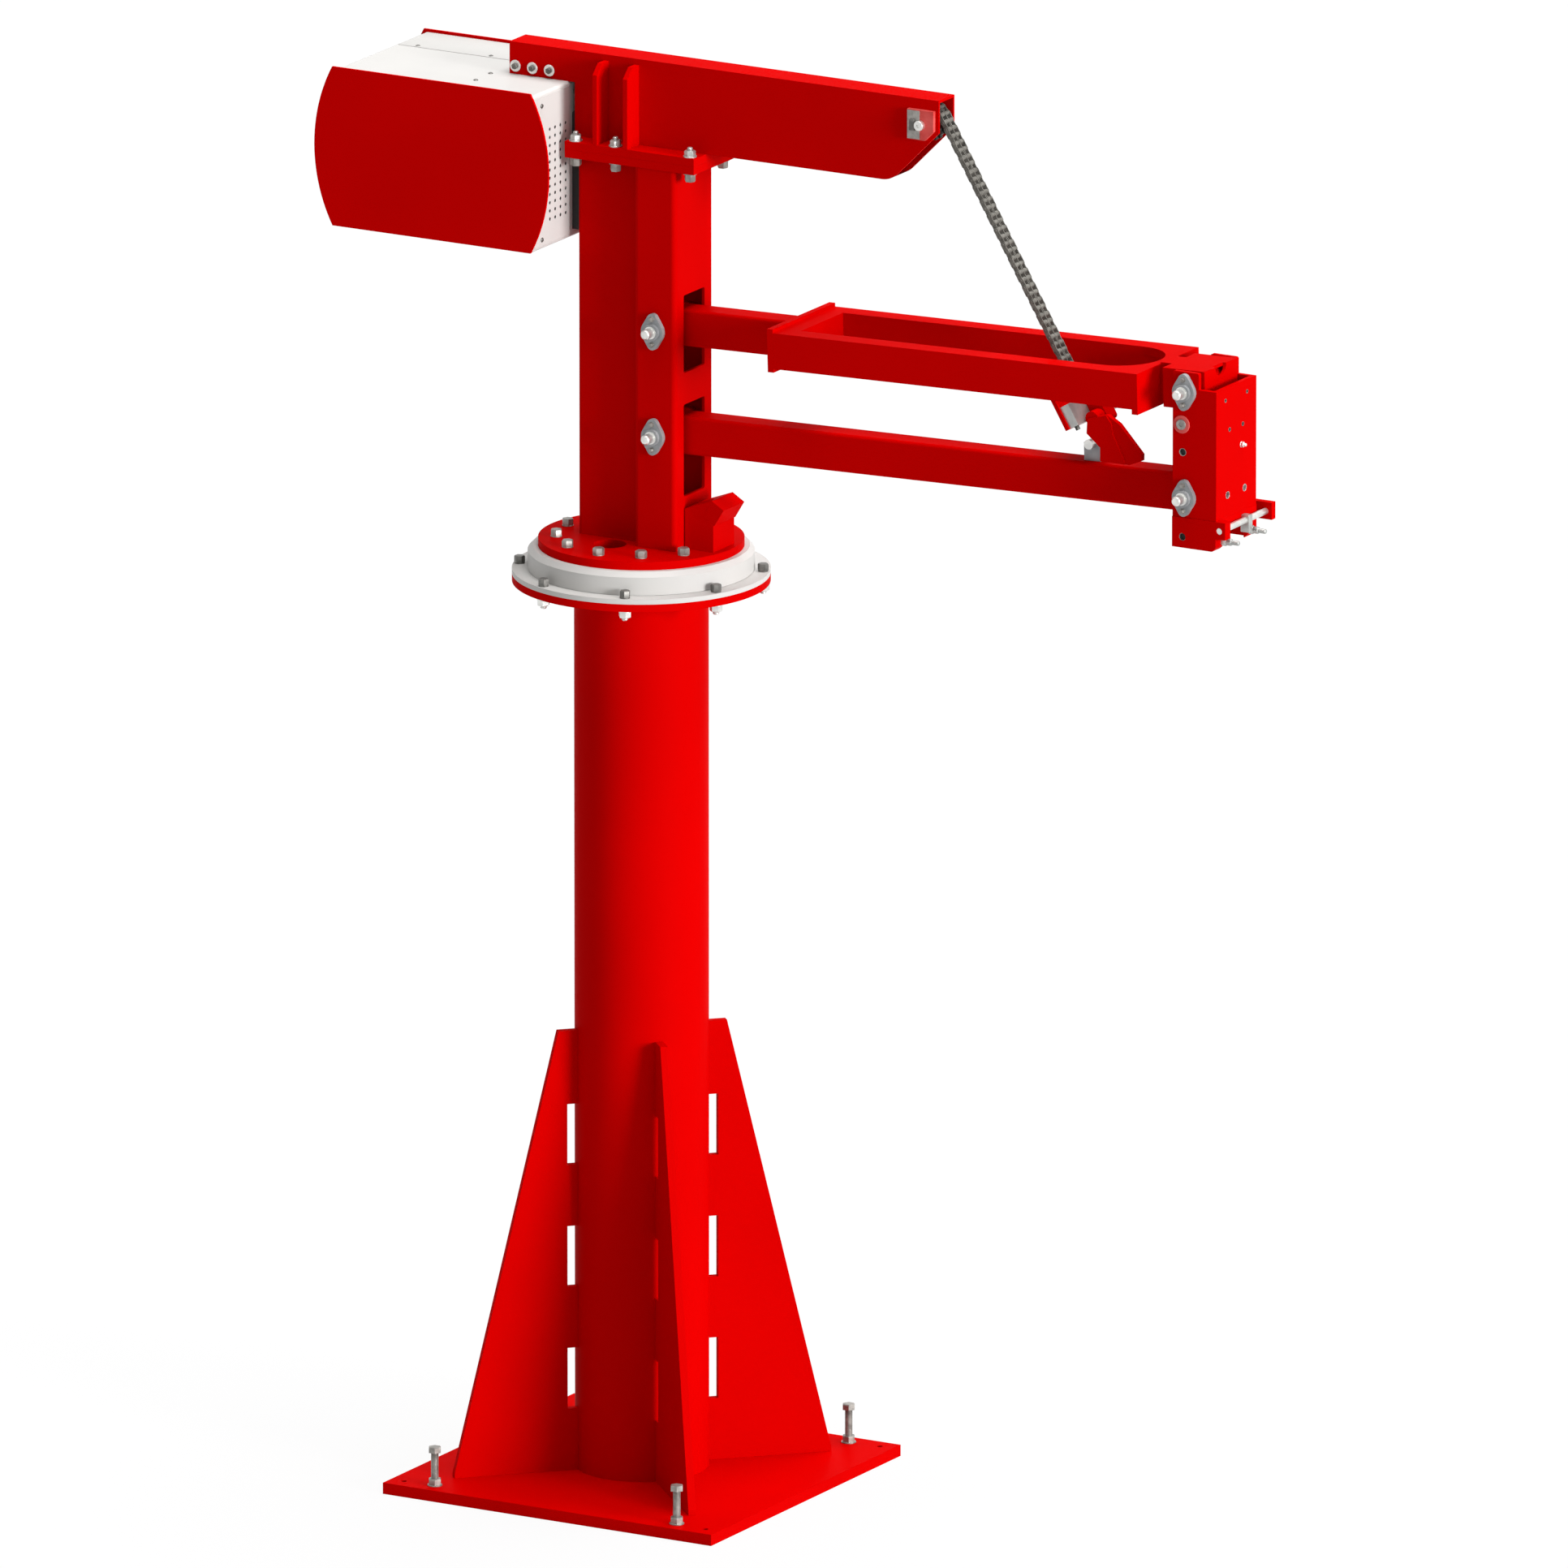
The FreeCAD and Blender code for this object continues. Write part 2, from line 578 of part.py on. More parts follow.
def chain_line():
    """Where the taut chain leaves the sheave, in the plane y = 0, the angle there, and its anchor."""
    centre = V(SHEAVE_X, 0, SHEAVE_Z)
    end = on_arm(Part.Vertex(FRAME_END - ANCHOR_BACK, 0, -ANCHOR_DOWN), UPPER_PIVOT_Z).Point
    run = end - centre
    length = math.sqrt(run.Length ** 2 - SHEAVE_PITCH_R ** 2)
    turn = math.atan2(run.z, run.x) + math.atan2(length, SHEAVE_PITCH_R)
    leave = centre + V(math.cos(turn), 0, math.sin(turn)) * SHEAVE_PITCH_R
    return leave, end, math.degrees(turn)


def along_chain(shape):
    """Place a shape drawn with the chain along -Z, its lower end at the origin, on the anchor."""
    leave, end, turn = chain_line()
    run = leave - end
    placed = shape.copy()
    placed.rotate(V(0, 0, 0), Y_AXIS, math.degrees(math.atan2(run.x, run.z)))
    placed.translate(end)
    return placed


def lift_link_count():
    leave, end, turn = chain_line()
    free = (leave - end).Length - LOAD_BLOCK_LENGTH - CLEVIS_PIN_UP
    return int(free / CHAIN_PITCH)


def clevis_pin_height():
    """Height of the clevis pin over the anchor, a whole number of links below the sheave."""
    leave, end, turn = chain_line()
    return (leave - end).Length - lift_link_count() * CHAIN_PITCH


def make_link_plate(start, end, y, thickness):
    """One plate of a link from y towards +Y, round-ended about its two pins."""
    turn = math.degrees(math.atan2(end.z - start.z, end.x - start.x))
    outline = arc_points(end.x, end.z, CHAIN_H / 2, turn - 90, turn + 90, 3)
    outline += arc_points(start.x, start.z, CHAIN_H / 2, turn + 90, turn + 270, 3)
    return polygon_prism([p + V(0, y, 0) for p in outline], V(0, thickness, 0))


def make_inner_link(start, end):
    """In each strand, two plates with a roller between them on each pin."""
    pieces = []
    for strand in (-STRAND_Y, STRAND_Y):
        near = strand - ROLLER_HALF_Y
        far = strand + ROLLER_HALF_Y
        pieces += [make_link_plate(start, end, near - INNER_PLATE_T, INNER_PLATE_T),
                   make_link_plate(start, end, far, INNER_PLATE_T)]
        pieces += [polygon_rod_y(ROLLER_R, ROLLER_SIDES, pin.x, pin.z, near, far) for pin in (start, end)]
    return pieces


def make_outer_link(start, end):
    """A plate on each outer side and one between the strands."""
    return [make_link_plate(start, end, -CHAIN_HALF_Y, OUTER_PLATE_T),
            make_link_plate(start, end, -MIDDLE_PLATE_T / 2, MIDDLE_PLATE_T),
            make_link_plate(start, end, OUTER_PLATE_Y, OUTER_PLATE_T)]


def make_lift_chain():
    """Free run of the chain from the sheave to the clevis, its last plates bored for the clevis pin."""
    leave, end, turn = chain_line()
    down = (end - leave).normalize() * CHAIN_PITCH
    pins = [leave + down * k for k in range(lift_link_count() + 1)]
    pieces = []
    for k in range(len(pins) - 1):
        make_link = make_inner_link if k % 2 else make_outer_link
        pieces += make_link(pins[k], pins[k + 1])
    chain = pieces[0].multiFuse(pieces[1:])
    bore = rod_y(CLEVIS_PIN_R + RUN_FIT, pins[-1].x, pins[-1].z, -CLEVIS_GAP_HALF, CLEVIS_GAP_HALF)
    return chain.cut(bore)


def make_boom_chain():
    """Chain over the sheave and its run inside the boom to the hoist."""
    leave, end, turn = chain_line()
    entry = V(HOIST_X1, 0, HOIST_TOP_Z - CHAIN_ENTRY_DOWN)
    run = V(SHEAVE_X, 0, SHEAVE_Z) - entry
    meet = 180 + math.degrees(math.atan2(run.z, run.x) - math.acos(SHEAVE_PITCH_R / run.Length))
    wraps = math.ceil((meet - turn) / SHEAVE_STEP)
    pins = arc_points(SHEAVE_X, SHEAVE_Z, SHEAVE_PITCH_R, turn, turn + wraps * SHEAVE_STEP, wraps)
    back = (entry - pins[-1]).normalize() * CHAIN_PITCH
    pins += [pins[-1] + back * (k + 1) for k in range(BOOM_LINKS)]
    pieces = []
    for k in range(len(pins) - 1):
        make_link = make_outer_link if k % 2 else make_inner_link
        pieces += make_link(pins[k], pins[k + 1])
    half_h = V(0, 0, CHAIN_H / 2)
    corners = (pins[-1] - half_h, pins[-1] + half_h, entry + half_h, entry - half_h)
    outline = [p - V(0, CHAIN_HALF_Y, 0) for p in corners]
    pieces.append(polygon_prism(outline, V(0, 2 * CHAIN_HALF_Y, 0)))
    return pieces[0].multiFuse(pieces[1:])


def make_chain_sheave():
    """Wheel with two rows of teeth, one roller seat of each row where the chain leaves it."""
    leave, end, first = chain_line()
    seat_r = (ROLLER_R + CHAIN_FIT) / math.cos(math.radians(90.0 / SEAT_STEPS))
    tip_r = SHEAVE_PITCH_R + TOOTH_STAND
    outline = []
    for k in range(SHEAVE_TEETH):
        turn = first + k * SHEAVE_STEP
        seat_x = SHEAVE_PITCH_R * math.cos(math.radians(turn))
        seat_z = SHEAVE_PITCH_R * math.sin(math.radians(turn))
        outline += arc_points(seat_x, seat_z, seat_r, turn + 270, turn + 90, SEAT_STEPS)
        tip = turn + SHEAVE_STEP / 2
        outline += arc_points(0, 0, tip_r, tip - TOOTH_TIP_TURN, tip + TOOTH_TIP_TURN, 1)
    half_t = ROLLER_HALF_Y - SHEAVE_SIDE_GAP
    row = polygon_prism([p + V(0, STRAND_Y - half_t, 0) for p in outline], V(0, 2 * half_t, 0))
    wheel = polygon_rod_y(SHEAVE_HUB_R, BOSS_SIDES, 0, 0, -SHEAVE_HUB_HALF, SHEAVE_HUB_HALF)
    wheel = wheel.fuse(row).fuse(mirrored_y(row))
    wheel = wheel.cut(rod_y(AXLE_R, 0, 0, -SHEAVE_HUB_HALF - 1, SHEAVE_HUB_HALF + 1))
    wheel.translate(V(SHEAVE_X, 0, SHEAVE_Z))
    return wheel


def make_sheave_axle():
    reach = BOOM_HALF_Y + KEEPER_T + AXLE_STAND
    return rod_y(AXLE_R, SHEAVE_X, SHEAVE_Z, -reach, reach)


def make_sheave_keepers():
    x0 = SHEAVE_X - KEEPER_W / 2
    x1 = SHEAVE_X + KEEPER_W / 2
    z0 = SHEAVE_Z - KEEPER_H / 2
    z1 = SHEAVE_Z + KEEPER_H / 2
    y = -BOOM_HALF_Y
    outline = [V(x0, y, z0), V(x1 - KEEPER_CUT, y, z0), V(x1, y, z0 + KEEPER_CUT), V(x1, y, z1), V(x0, y, z1)]
    plate = polygon_prism(outline, V(0, -KEEPER_T, 0))
    return both_sides(plate.cut(rod_y(AXLE_R, SHEAVE_X, SHEAVE_Z, y - KEEPER_T - 1, y + 1)))


def make_chain_hanger():
    """Inclined plate between the frame's rails, reaching down behind the chain's end."""
    leave, end, turn = chain_line()
    lean = math.atan2(leave.z - end.z, end.x - leave.x)
    rail_low = UPPER_PIVOT_Z + (end.x - PIVOT_X) * math.tan(math.radians(ARM_TILT)) - RAIL_H / 2
    top = (rail_low - end.z) / math.sin(lean) + HANGER_BACK + HANGER_LAP
    half_y = FRAME_HALF_Y - RAIL_W
    return along_chain(box(-HANGER_BACK - HANGER_T, -HANGER_BACK, -half_y, half_y, 0, top))


def make_load_block():
    return along_chain(box(-HANGER_BACK, LOAD_BLOCK_T - HANGER_BACK, -LOAD_BLOCK_HALF_Y,
                           LOAD_BLOCK_HALF_Y, 0, LOAD_BLOCK_LENGTH))


def make_chain_clevis():
    """Fork on the load block's upper end that takes the chain's last pin."""
    front = LOAD_BLOCK_T - HANGER_BACK
    centre = clevis_pin_height()
    cheek_y = CLEVIS_GAP_HALF + CLEVIS_CHEEK_T
    body = box(-front, front, -cheek_y, cheek_y, LOAD_BLOCK_LENGTH, centre)
    body = body.fuse(polygon_rod_y(front, HOLE_SIDES, 0, centre, -cheek_y, cheek_y))
    floor = LOAD_BLOCK_LENGTH + CLEVIS_FLOOR
    gap = box(-front - 1, front + 1, -CLEVIS_GAP_HALF, CLEVIS_GAP_HALF, floor, centre + front + 1)
    body = body.cut(gap).cut(rod_y(CLEVIS_PIN_R, 0, centre, -cheek_y - 1, cheek_y + 1))
    return along_chain(body)


def make_clevis_pin():
    reach = CLEVIS_GAP_HALF + CLEVIS_CHEEK_T + CLEVIS_PIN_STAND
    return along_chain(rod_y(CLEVIS_PIN_R, 0, clevis_pin_height(), -reach, reach))


def make_slack_lever():
    """Red lever on the block's face, its blade reaching down beside the lower arm."""
    front = LOAD_BLOCK_T - HANGER_BACK
    body = rounded_box(front, front + LEVER_DEPTH, -LEVER_HALF_Y, LEVER_HALF_Y, -LEVER_DROP, LEVER_TOP,
                       Y_AXIS, LEVER_CORNER_R)
    outer_y = -BLADE_Y - BLADE_T
    boss = rod_y(LEVER_BOSS_R, front + LEVER_DEPTH / 2, 0, outer_y, -LEVER_HALF_Y)
    blade = polygon_prism([V(x, outer_y, z) for x, z in BLADE_OUTLINE], V(0, BLADE_T, 0))
    rib = polygon_prism([V(x, outer_y, z) for x, z in BLADE_RIB], V(0, -BLADE_RIB_T, 0))
    return along_chain(body.fuse(boss).fuse(blade).fuse(rib))


def lowered_arm(shape):
    """Turn a shape drawn along the lower arm to the angle at which the stop pad meets it."""
    placed = shape.copy()
    placed.rotate(V(0, 0, 0), Y_AXIS, STOP_ANGLE)
    placed.translate(V(PIVOT_X, 0, LOWER_PIVOT_Z))
    return placed


def make_stop_pad():
    return lowered_arm(box(STOP_PAD_FROM, STOP_PAD_FROM + STOP_PAD_L, -STOP_POST_HALF_Y, STOP_POST_HALF_Y,
                           STOP_FACE - STOP_PAD_T, STOP_FACE))


def make_stop_post():
    """Post on the turntable, its top rising to the pad's upper rear edge and cut to seat the pad."""
    back = MAST_FRONT_X + STOP_POST_GAP
    front = back + STOP_POST_DEPTH
    y = -STOP_POST_HALF_Y
    edge = lowered_arm(Part.Vertex(STOP_PAD_FROM, 0, STOP_FACE)).Point
    outline = [V(back, y, MAST_Z), V(front, y, MAST_Z), V(front, y, edge.z), V(edge.x, y, edge.z),
               V(back, y, edge.z - STOP_POST_FALL)]
    post = polygon_prism(outline, V(0, 2 * STOP_POST_HALF_Y, 0))
    ahead = box(STOP_PAD_FROM, ARM_LENGTH, -FRONT_HALF_Y, FRONT_HALF_Y, STOP_FACE - STOP_PAD_T, 0)
    return post.cut(lowered_arm(ahead))


def make_stop_lug():
    top = LOWER_ARM_TOP
    half = LUG_LENGTH / 2
    mid = ARM_LENGTH - LUG_FROM_END
    block = box(mid - half, mid + half, -LUG_HALF_Y, LUG_HALF_Y, top, top + LUG_H)
    block = block.cut(rod_y(LUG_PIN_R, mid, top + LUG_H, -LUG_HALF_Y - 1, LUG_HALF_Y + 1))
    return on_arm(block, LOWER_PIVOT_Z)


def make_stop_pin():
    z = LOWER_ARM_TOP + LUG_H
    pin = rod_y(LUG_PIN_R, ARM_LENGTH - LUG_FROM_END, z, -ARM_W / 2, ARM_W / 2)
    return on_arm(pin, LOWER_PIVOT_Z)


def make_top_plate(z):
    half_y = FRONT_HALF_Y + TOP_PLATE_SIDE
    return box(MAST_REAR_X - TOP_PLATE_REAR, MAST_FRONT_X + TOP_PLATE_FRONT, -half_y, half_y,
               z, z + TOP_PLATE_T)


def make_boom():
    """Rectangular tube with a mitred, open tip, cut away at the rear to sit on the hoist."""
    notch_x = HOIST_X1 + BOOM_NOTCH_GAP
    side = [V(BOOM_X0, -BOOM_HALF_Y, HOIST_TOP_Z), V(notch_x, -BOOM_HALF_Y, HOIST_TOP_Z),
            V(notch_x, -BOOM_HALF_Y, BOOM_Z), V(BOOM_X1 - BOOM_TIP_CUT, -BOOM_HALF_Y, BOOM_Z),
            V(BOOM_X1, -BOOM_HALF_Y, BOOM_Z + BOOM_TIP_CUT), V(BOOM_X1, -BOOM_HALF_Y, BOOM_TOP_Z),
            V(BOOM_X0, -BOOM_HALF_Y, BOOM_TOP_Z)]
    boom = polygon_prism(side, V(0, 2 * BOOM_HALF_Y, 0))
    heel = [e for e in edges_along(boom, Y_AXIS)
            if abs(e.CenterOfMass.x - BOOM_X1 + BOOM_TIP_CUT) < 1 and e.CenterOfMass.z < BOOM_Z + 1]
    boom = boom.makeFillet(BOOM_TIP_R, heel)
    inner_y = BOOM_HALF_Y - BOOM_WALL
    ceiling = BOOM_TOP_Z - BOOM_WALL
    boom = boom.cut(box(notch_x - 1, BOOM_X1 + 1, -inner_y, inner_y, BOOM_Z + BOOM_WALL, ceiling))
    boom = boom.cut(box(BOOM_X0 - 1, notch_x, -inner_y, inner_y, HOIST_TOP_Z - 1, ceiling))
    return boom.cut(rod_y(AXLE_R, SHEAVE_X, SHEAVE_Z, -BOOM_HALF_Y - 1, BOOM_HALF_Y + 1))


def make_boom_ribs():
    ribs = []
    for from_rear in RIB_FROM_REAR:
        x = MAST_REAR_X + from_rear
        y0 = -FRONT_HALF_Y - TOP_PLATE_SIDE
        top = BOOM_Z + RIB_H
        outline = [V(x, y0, BOOM_Z), V(x, -BOOM_HALF_Y, BOOM_Z), V(x, -BOOM_HALF_Y, top),
                   V(x, y0 + RIB_CUT, top), V(x, y0, top - RIB_CUT)]
        near = polygon_prism(outline, V(RIB_T, 0, 0))
        ribs += [near, mirrored_y(near)]
    return Part.makeCompound(ribs)


def make_hoist_body():
    """Wrapped housing, open at the two ends that the panels close."""
    low = HOIST_TOP_Z - HOIST_H
    outer = rounded_box(HOIST_X0, HOIST_X1, -HOIST_HALF_Y, HOIST_HALF_Y, low, HOIST_TOP_Z,
                        Y_AXIS, HOIST_EDGE_R)
    return outer.cut(box(HOIST_X0 + HOIST_WALL, HOIST_X1 - HOIST_WALL, -HOIST_HALF_Y - 1, HOIST_HALF_Y + 1,
                         low + HOIST_WALL, HOIST_TOP_Z - HOIST_WALL))


def make_hoist_panel():
    """End panel on the near face, with both upright sides bulging outwards."""
    y = -HOIST_HALF_Y
    mid_z = HOIST_TOP_Z - HOIST_H / 2 + PANEL_RISE
    low = mid_z - PANEL_H / 2
    high = mid_z + PANEL_H / 2
    x0 = HOIST_X0 - PANEL_BACK
    x1 = HOIST_X1 - PANEL_BACK
    right = Part.Arc(V(x1, y, low), V(x1 + PANEL_BULGE, y, mid_z), V(x1, y, high))
    left = Part.Arc(V(x0, y, high), V(x0 - PANEL_BULGE, y, mid_z), V(x0, y, low))
    edges = [right.toShape(), Part.LineSegment(V(x1, y, high), V(x0, y, high)).toShape(),
             left.toShape(), Part.LineSegment(V(x0, y, low), V(x1, y, low)).toShape()]
    return Part.Face(Part.Wire(edges)).extrude(V(0, -PANEL_T, 0))


def make_hoist_lug():
    x0 = BOOM_X0 + HOIST_LUG_INSET
    return box(x0, x0 + HOIST_LUG_LENGTH, -HOIST_LUG_HALF_Y, HOIST_LUG_HALF_Y,
               HOIST_TOP_Z, HOIST_TOP_Z + HOIST_LUG_H)


def make_hoist_backing():
    """Dark pad between the hoist and the mast's rear tube, its upper part before the boom."""
    low = HOIST_TOP_Z - HOIST_H + BACKING_FOOT_GAP
    pad = box(HOIST_X1, MAST_REAR_X, -BACKING_HALF_Y, BACKING_HALF_Y, low, MAST_TOP_Z - BACKING_TOP_GAP)
    return pad.fuse(box(HOIST_X1, HOIST_X1 + BOOM_NOTCH_GAP, -BACKING_HALF_Y, BACKING_HALF_Y,
                        low, HOIST_TOP_Z - BACKING_TOP_DOWN))


def make_bracket_sides():
    y0 = -BRACKET_HALF_Y
    y1 = y0 + BRACKET_WALL
    ear_top = END_Z + BRACKET_EAR_UP
    face_top = END_Z + BRACKET_FACE_UP
    ear_x = END_X + BRACKET_EAR_REACH
    outline = [V(BRACKET_X0, y0, COLLAR_TOP_Z), V(BRACKET_X1, y0, COLLAR_TOP_Z), V(BRACKET_X1, y0, face_top),
               V(ear_x, y0, face_top), V(ear_x, y0, ear_top), V(BRACKET_X0, y0, ear_top)]
    plate = polygon_prism(outline, V(0, BRACKET_WALL, 0))
    ear_edges = [e for e in edges_along(plate, Y_AXIS) if e.CenterOfMass.z > ear_top - 1]
    plate = plate.makeFillet(BRACKET_EAR_R, ear_edges)
    for z in (END_Z, END_Z - PIVOT_SPACING):
        plate = plate.cut(polygon_rod_y(PIN_HOLE_R, HOLE_SIDES, END_X, z, y0 - 1, y1 + 1))
    spare = rod_y(SPARE_HOLE_R, END_X - SPARE_HOLE_BACK, END_Z - SPARE_HOLE_DOWN, y0 - 1, y1 + 1)
    return Part.makeCompound([plate.cut(spare), mirrored_y(plate)])


def make_bracket_face():
    inner_y = BRACKET_HALF_Y - BRACKET_WALL
    back = BRACKET_X1 - BRACKET_WALL
    face = box(back, BRACKET_X1, -inner_y, inner_y, COLLAR_TOP_Z, END_Z + BRACKET_FACE_UP)
    for y, down, radius in FACE_HOLES:
        for side in (-1, 1):
            z = END_Z - down
            face = face.cut(rod(radius, V(back - 1, side * y, z), V(BRACKET_X1 + 1, side * y, z)))
    return face


def make_bracket_collar():
    """Foot of the bracket: two cheeks, an arched apron, and a near and an outboard lug for the fork pin."""
    inner_y = BRACKET_HALF_Y - COLLAR_CHEEK_T
    lug_x = BRACKET_X1 + LUG_REACH
    lug_z = COLLAR_TOP_Z - LUG_DROP
    near = box(BRACKET_X0, BRACKET_X1, -BRACKET_HALF_Y, -inner_y, BRACKET_Z0, COLLAR_TOP_Z)
    apron = box(BRACKET_X1 - BRACKET_WALL, BRACKET_X1, -inner_y, inner_y, BRACKET_Z0, COLLAR_TOP_Z)
    apron = apron.cut(rod(APRON_ARCH_R, V(BRACKET_X0, 0, BRACKET_Z0), V(lug_x, 0, BRACKET_Z0)))
    collar = near.fuse(mirrored_y(near)).fuse(apron)
    corners = [e for e in edges_along(collar, Y_AXIS)
               if e.CenterOfMass.z < BRACKET_Z0 + 1 and abs(e.CenterOfMass.x - BRACKET_X1) < 1]
    collar = collar.makeChamfer(COLLAR_CORNER_R, corners)
    collar = collar.fuse(box(BRACKET_X1, lug_x, -BRACKET_HALF_Y, -inner_y, lug_z, COLLAR_TOP_Z))
    far_y = BRACKET_HALF_Y + FAR_LUG_OUT
    collar = collar.fuse(box(BRACKET_X0, END_X, BRACKET_HALF_Y, far_y, lug_z, COLLAR_TOP_Z))
    collar = collar.fuse(box(BRACKET_X0, lug_x, far_y, far_y + FAR_LUG_T, lug_z, COLLAR_TOP_Z))
    collar = collar.cut(rod_y(FORK_PIN_R, FORK_PIN_X, FORK_PIN_Z, -BRACKET_HALF_Y - 1, far_y + FAR_LUG_T + 1))
    hole_z = BRACKET_Z0 + COLLAR_HOLE_UP
    return collar.cut(rod_y(SPARE_HOLE_R, END_X - SPARE_HOLE_BACK, hole_z, -BRACKET_HALF_Y - 1, -inner_y + 1))


def make_fork_pin():
    far_y = BRACKET_HALF_Y + FAR_LUG_OUT + FAR_LUG_T
    return rod_y(FORK_PIN_R, FORK_PIN_X, FORK_PIN_Z, -BRACKET_HALF_Y, far_y)


def main():
    hoist_panel = make_hoist_panel()
    shapes = {
        "base_plate": make_base_plate(),
        "anchor_bolts": make_anchor_bolts(),
        "column_pipe": make_column_pipe(),
        "column_gussets": make_column_gussets(),
        "column_flange": make_ring(FLANGE_R, PIPE_R - PIPE_WALL, PIPE_TOP_Z, FLANGE_T),
        "slew_ring_fixed": make_ring(FLANGE_R, RING_BORE_R, RING_Z, RING_FIXED_H),
        "slew_ring_turning": make_turning_ring(),
        "turntable_disc": make_turntable_disc(),
        "mast_rear_tube": make_rect_tube(MAST_REAR_X, MAST_MID_X, REAR_HALF_Y, MAST_Z, MAST_TOP_Z),
        "mast_front_tube": make_mast_front_tube(),
        "mast_bearings": make_bearing_set(PIVOT_X, FRONT_HALF_Y, UPPER_PIVOT_Z, RUN_FIT, RUN_FIT),
        "stop_post": make_stop_post(),
        "stop_pad": make_stop_pad(),
        "mast_top_plate": make_top_plate(MAST_TOP_Z),
        "boom_base_plate": make_top_plate(MAST_TOP_Z + TOP_PLATE_T),
        "boom": make_boom(),
        "boom_ribs": make_boom_ribs(),
        "chain_sheave": make_chain_sheave(),
        "sheave_axle": make_sheave_axle(),
        "sheave_keepers": make_sheave_keepers(),
        "hoist_body": make_hoist_body(),
        "hoist_panel_near": hoist_panel,
        "hoist_panel_far": mirrored_y(hoist_panel),
        "hoist_lug": make_hoist_lug(),
        "hoist_backing": make_hoist_backing(),
        "boom_chain": make_boom_chain(),
        "lift_chain": make_lift_chain(),
        "upper_arm_tube": make_upper_arm_tube(),
        "upper_arm_pins": make_pin_pair(UPPER_PIVOT_Z),
        "frame_end_plates": make_frame_end_plates(),
        "frame_rails": make_frame_rails(),
        "frame_webs": make_frame_webs(),
        "arm_head": make_arm_head(),
        "chain_hanger": make_chain_hanger(),
        "load_block": make_load_block(),
        "chain_clevis": make_chain_clevis(),
        "clevis_pin": make_clevis_pin(),
        "slack_lever": make_slack_lever(),
        "lower_arm_tube": make_lower_arm_tube(),
        "lower_arm_pins": make_pin_pair(LOWER_PIVOT_Z),
        "stop_lug": make_stop_lug(),
        "stop_pin": make_stop_pin(),
        "bracket_sides": make_bracket_sides(),
        "bracket_face": make_bracket_face(),
        "bracket_collar": make_bracket_collar(),
        "fork_pin": make_fork_pin(),
        "bracket_bearings": make_bearing_set(END_X, BRACKET_HALF_Y, END_Z, RUN_FIT, OPEN_FIT),
    }
    os.makedirs("parts", exist_ok=True)
    for name, shape in shapes.items():
        shape.exportStep(os.path.join("parts", name + ".step"))


main()
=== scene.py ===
"""Looks of an articulating arm hoist on a floor column. Metres, +Z up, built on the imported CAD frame."""
import math

import bmesh
import bpy
from mathutils import Matrix, Vector


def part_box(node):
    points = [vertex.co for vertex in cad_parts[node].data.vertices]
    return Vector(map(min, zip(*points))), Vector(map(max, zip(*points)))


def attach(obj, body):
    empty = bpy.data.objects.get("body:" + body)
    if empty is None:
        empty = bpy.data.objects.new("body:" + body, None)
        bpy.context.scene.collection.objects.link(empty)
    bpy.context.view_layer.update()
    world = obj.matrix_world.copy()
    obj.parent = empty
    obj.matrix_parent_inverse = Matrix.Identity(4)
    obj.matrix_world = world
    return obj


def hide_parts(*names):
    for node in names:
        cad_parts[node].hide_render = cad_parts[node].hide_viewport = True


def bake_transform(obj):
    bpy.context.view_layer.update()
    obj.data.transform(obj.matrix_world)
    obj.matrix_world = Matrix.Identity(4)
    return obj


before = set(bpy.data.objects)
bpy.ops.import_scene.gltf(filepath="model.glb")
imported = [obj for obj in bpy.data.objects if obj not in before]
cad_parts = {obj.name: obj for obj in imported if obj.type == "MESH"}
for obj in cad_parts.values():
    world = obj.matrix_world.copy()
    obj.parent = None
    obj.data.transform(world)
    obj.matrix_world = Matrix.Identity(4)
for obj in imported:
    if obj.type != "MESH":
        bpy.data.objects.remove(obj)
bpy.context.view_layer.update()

# Directions
UP = Vector((0, 0, 1))
DOWN = Vector((0, 0, -1))
FORWARD = Vector((1, 0, 0))
BACK = Vector((-1, 0, 0))
ACROSS = Vector((0, 1, 0))

# View of the photograph, as from far away
VIEW_AZIMUTH = math.radians(30)
VIEW_ELEVATION = math.radians(15)
VIEW_TARGET = Vector((0.3942, 0.0022, 1.7788))
VIEW_WIDTH = 3.762
LENS = 1000
SENSOR = 36

# Lights: name, strength, angle across in degrees, direction towards the light
LIGHTS = (("side", 3.4, 20, (0.975, -0.17, 0.14)), ("top", 3.9, 45, (0.10, 0.12, 0.985)))
LIGHT_AWAY = 8
WORLD_FILL = 0.32
FLOOR_HALF = 60
FLOOR_GREY = 0.45
FLOOR_ROUGHNESS = 0.9
FLOOR_GLOW = 1.07
FLOOR_GLOW_SHARE = 0.82

# Finish
PATCH_DETAIL = 6
PATCH_DARK_AT = 0.35
PATCH_LIGHT_AT = 0.65
GRAIN_DETAIL = 3
GRAIN_STRENGTH = 0.35
EDGE_SAMPLES = 4
SHARP_ANGLE = math.radians(35)

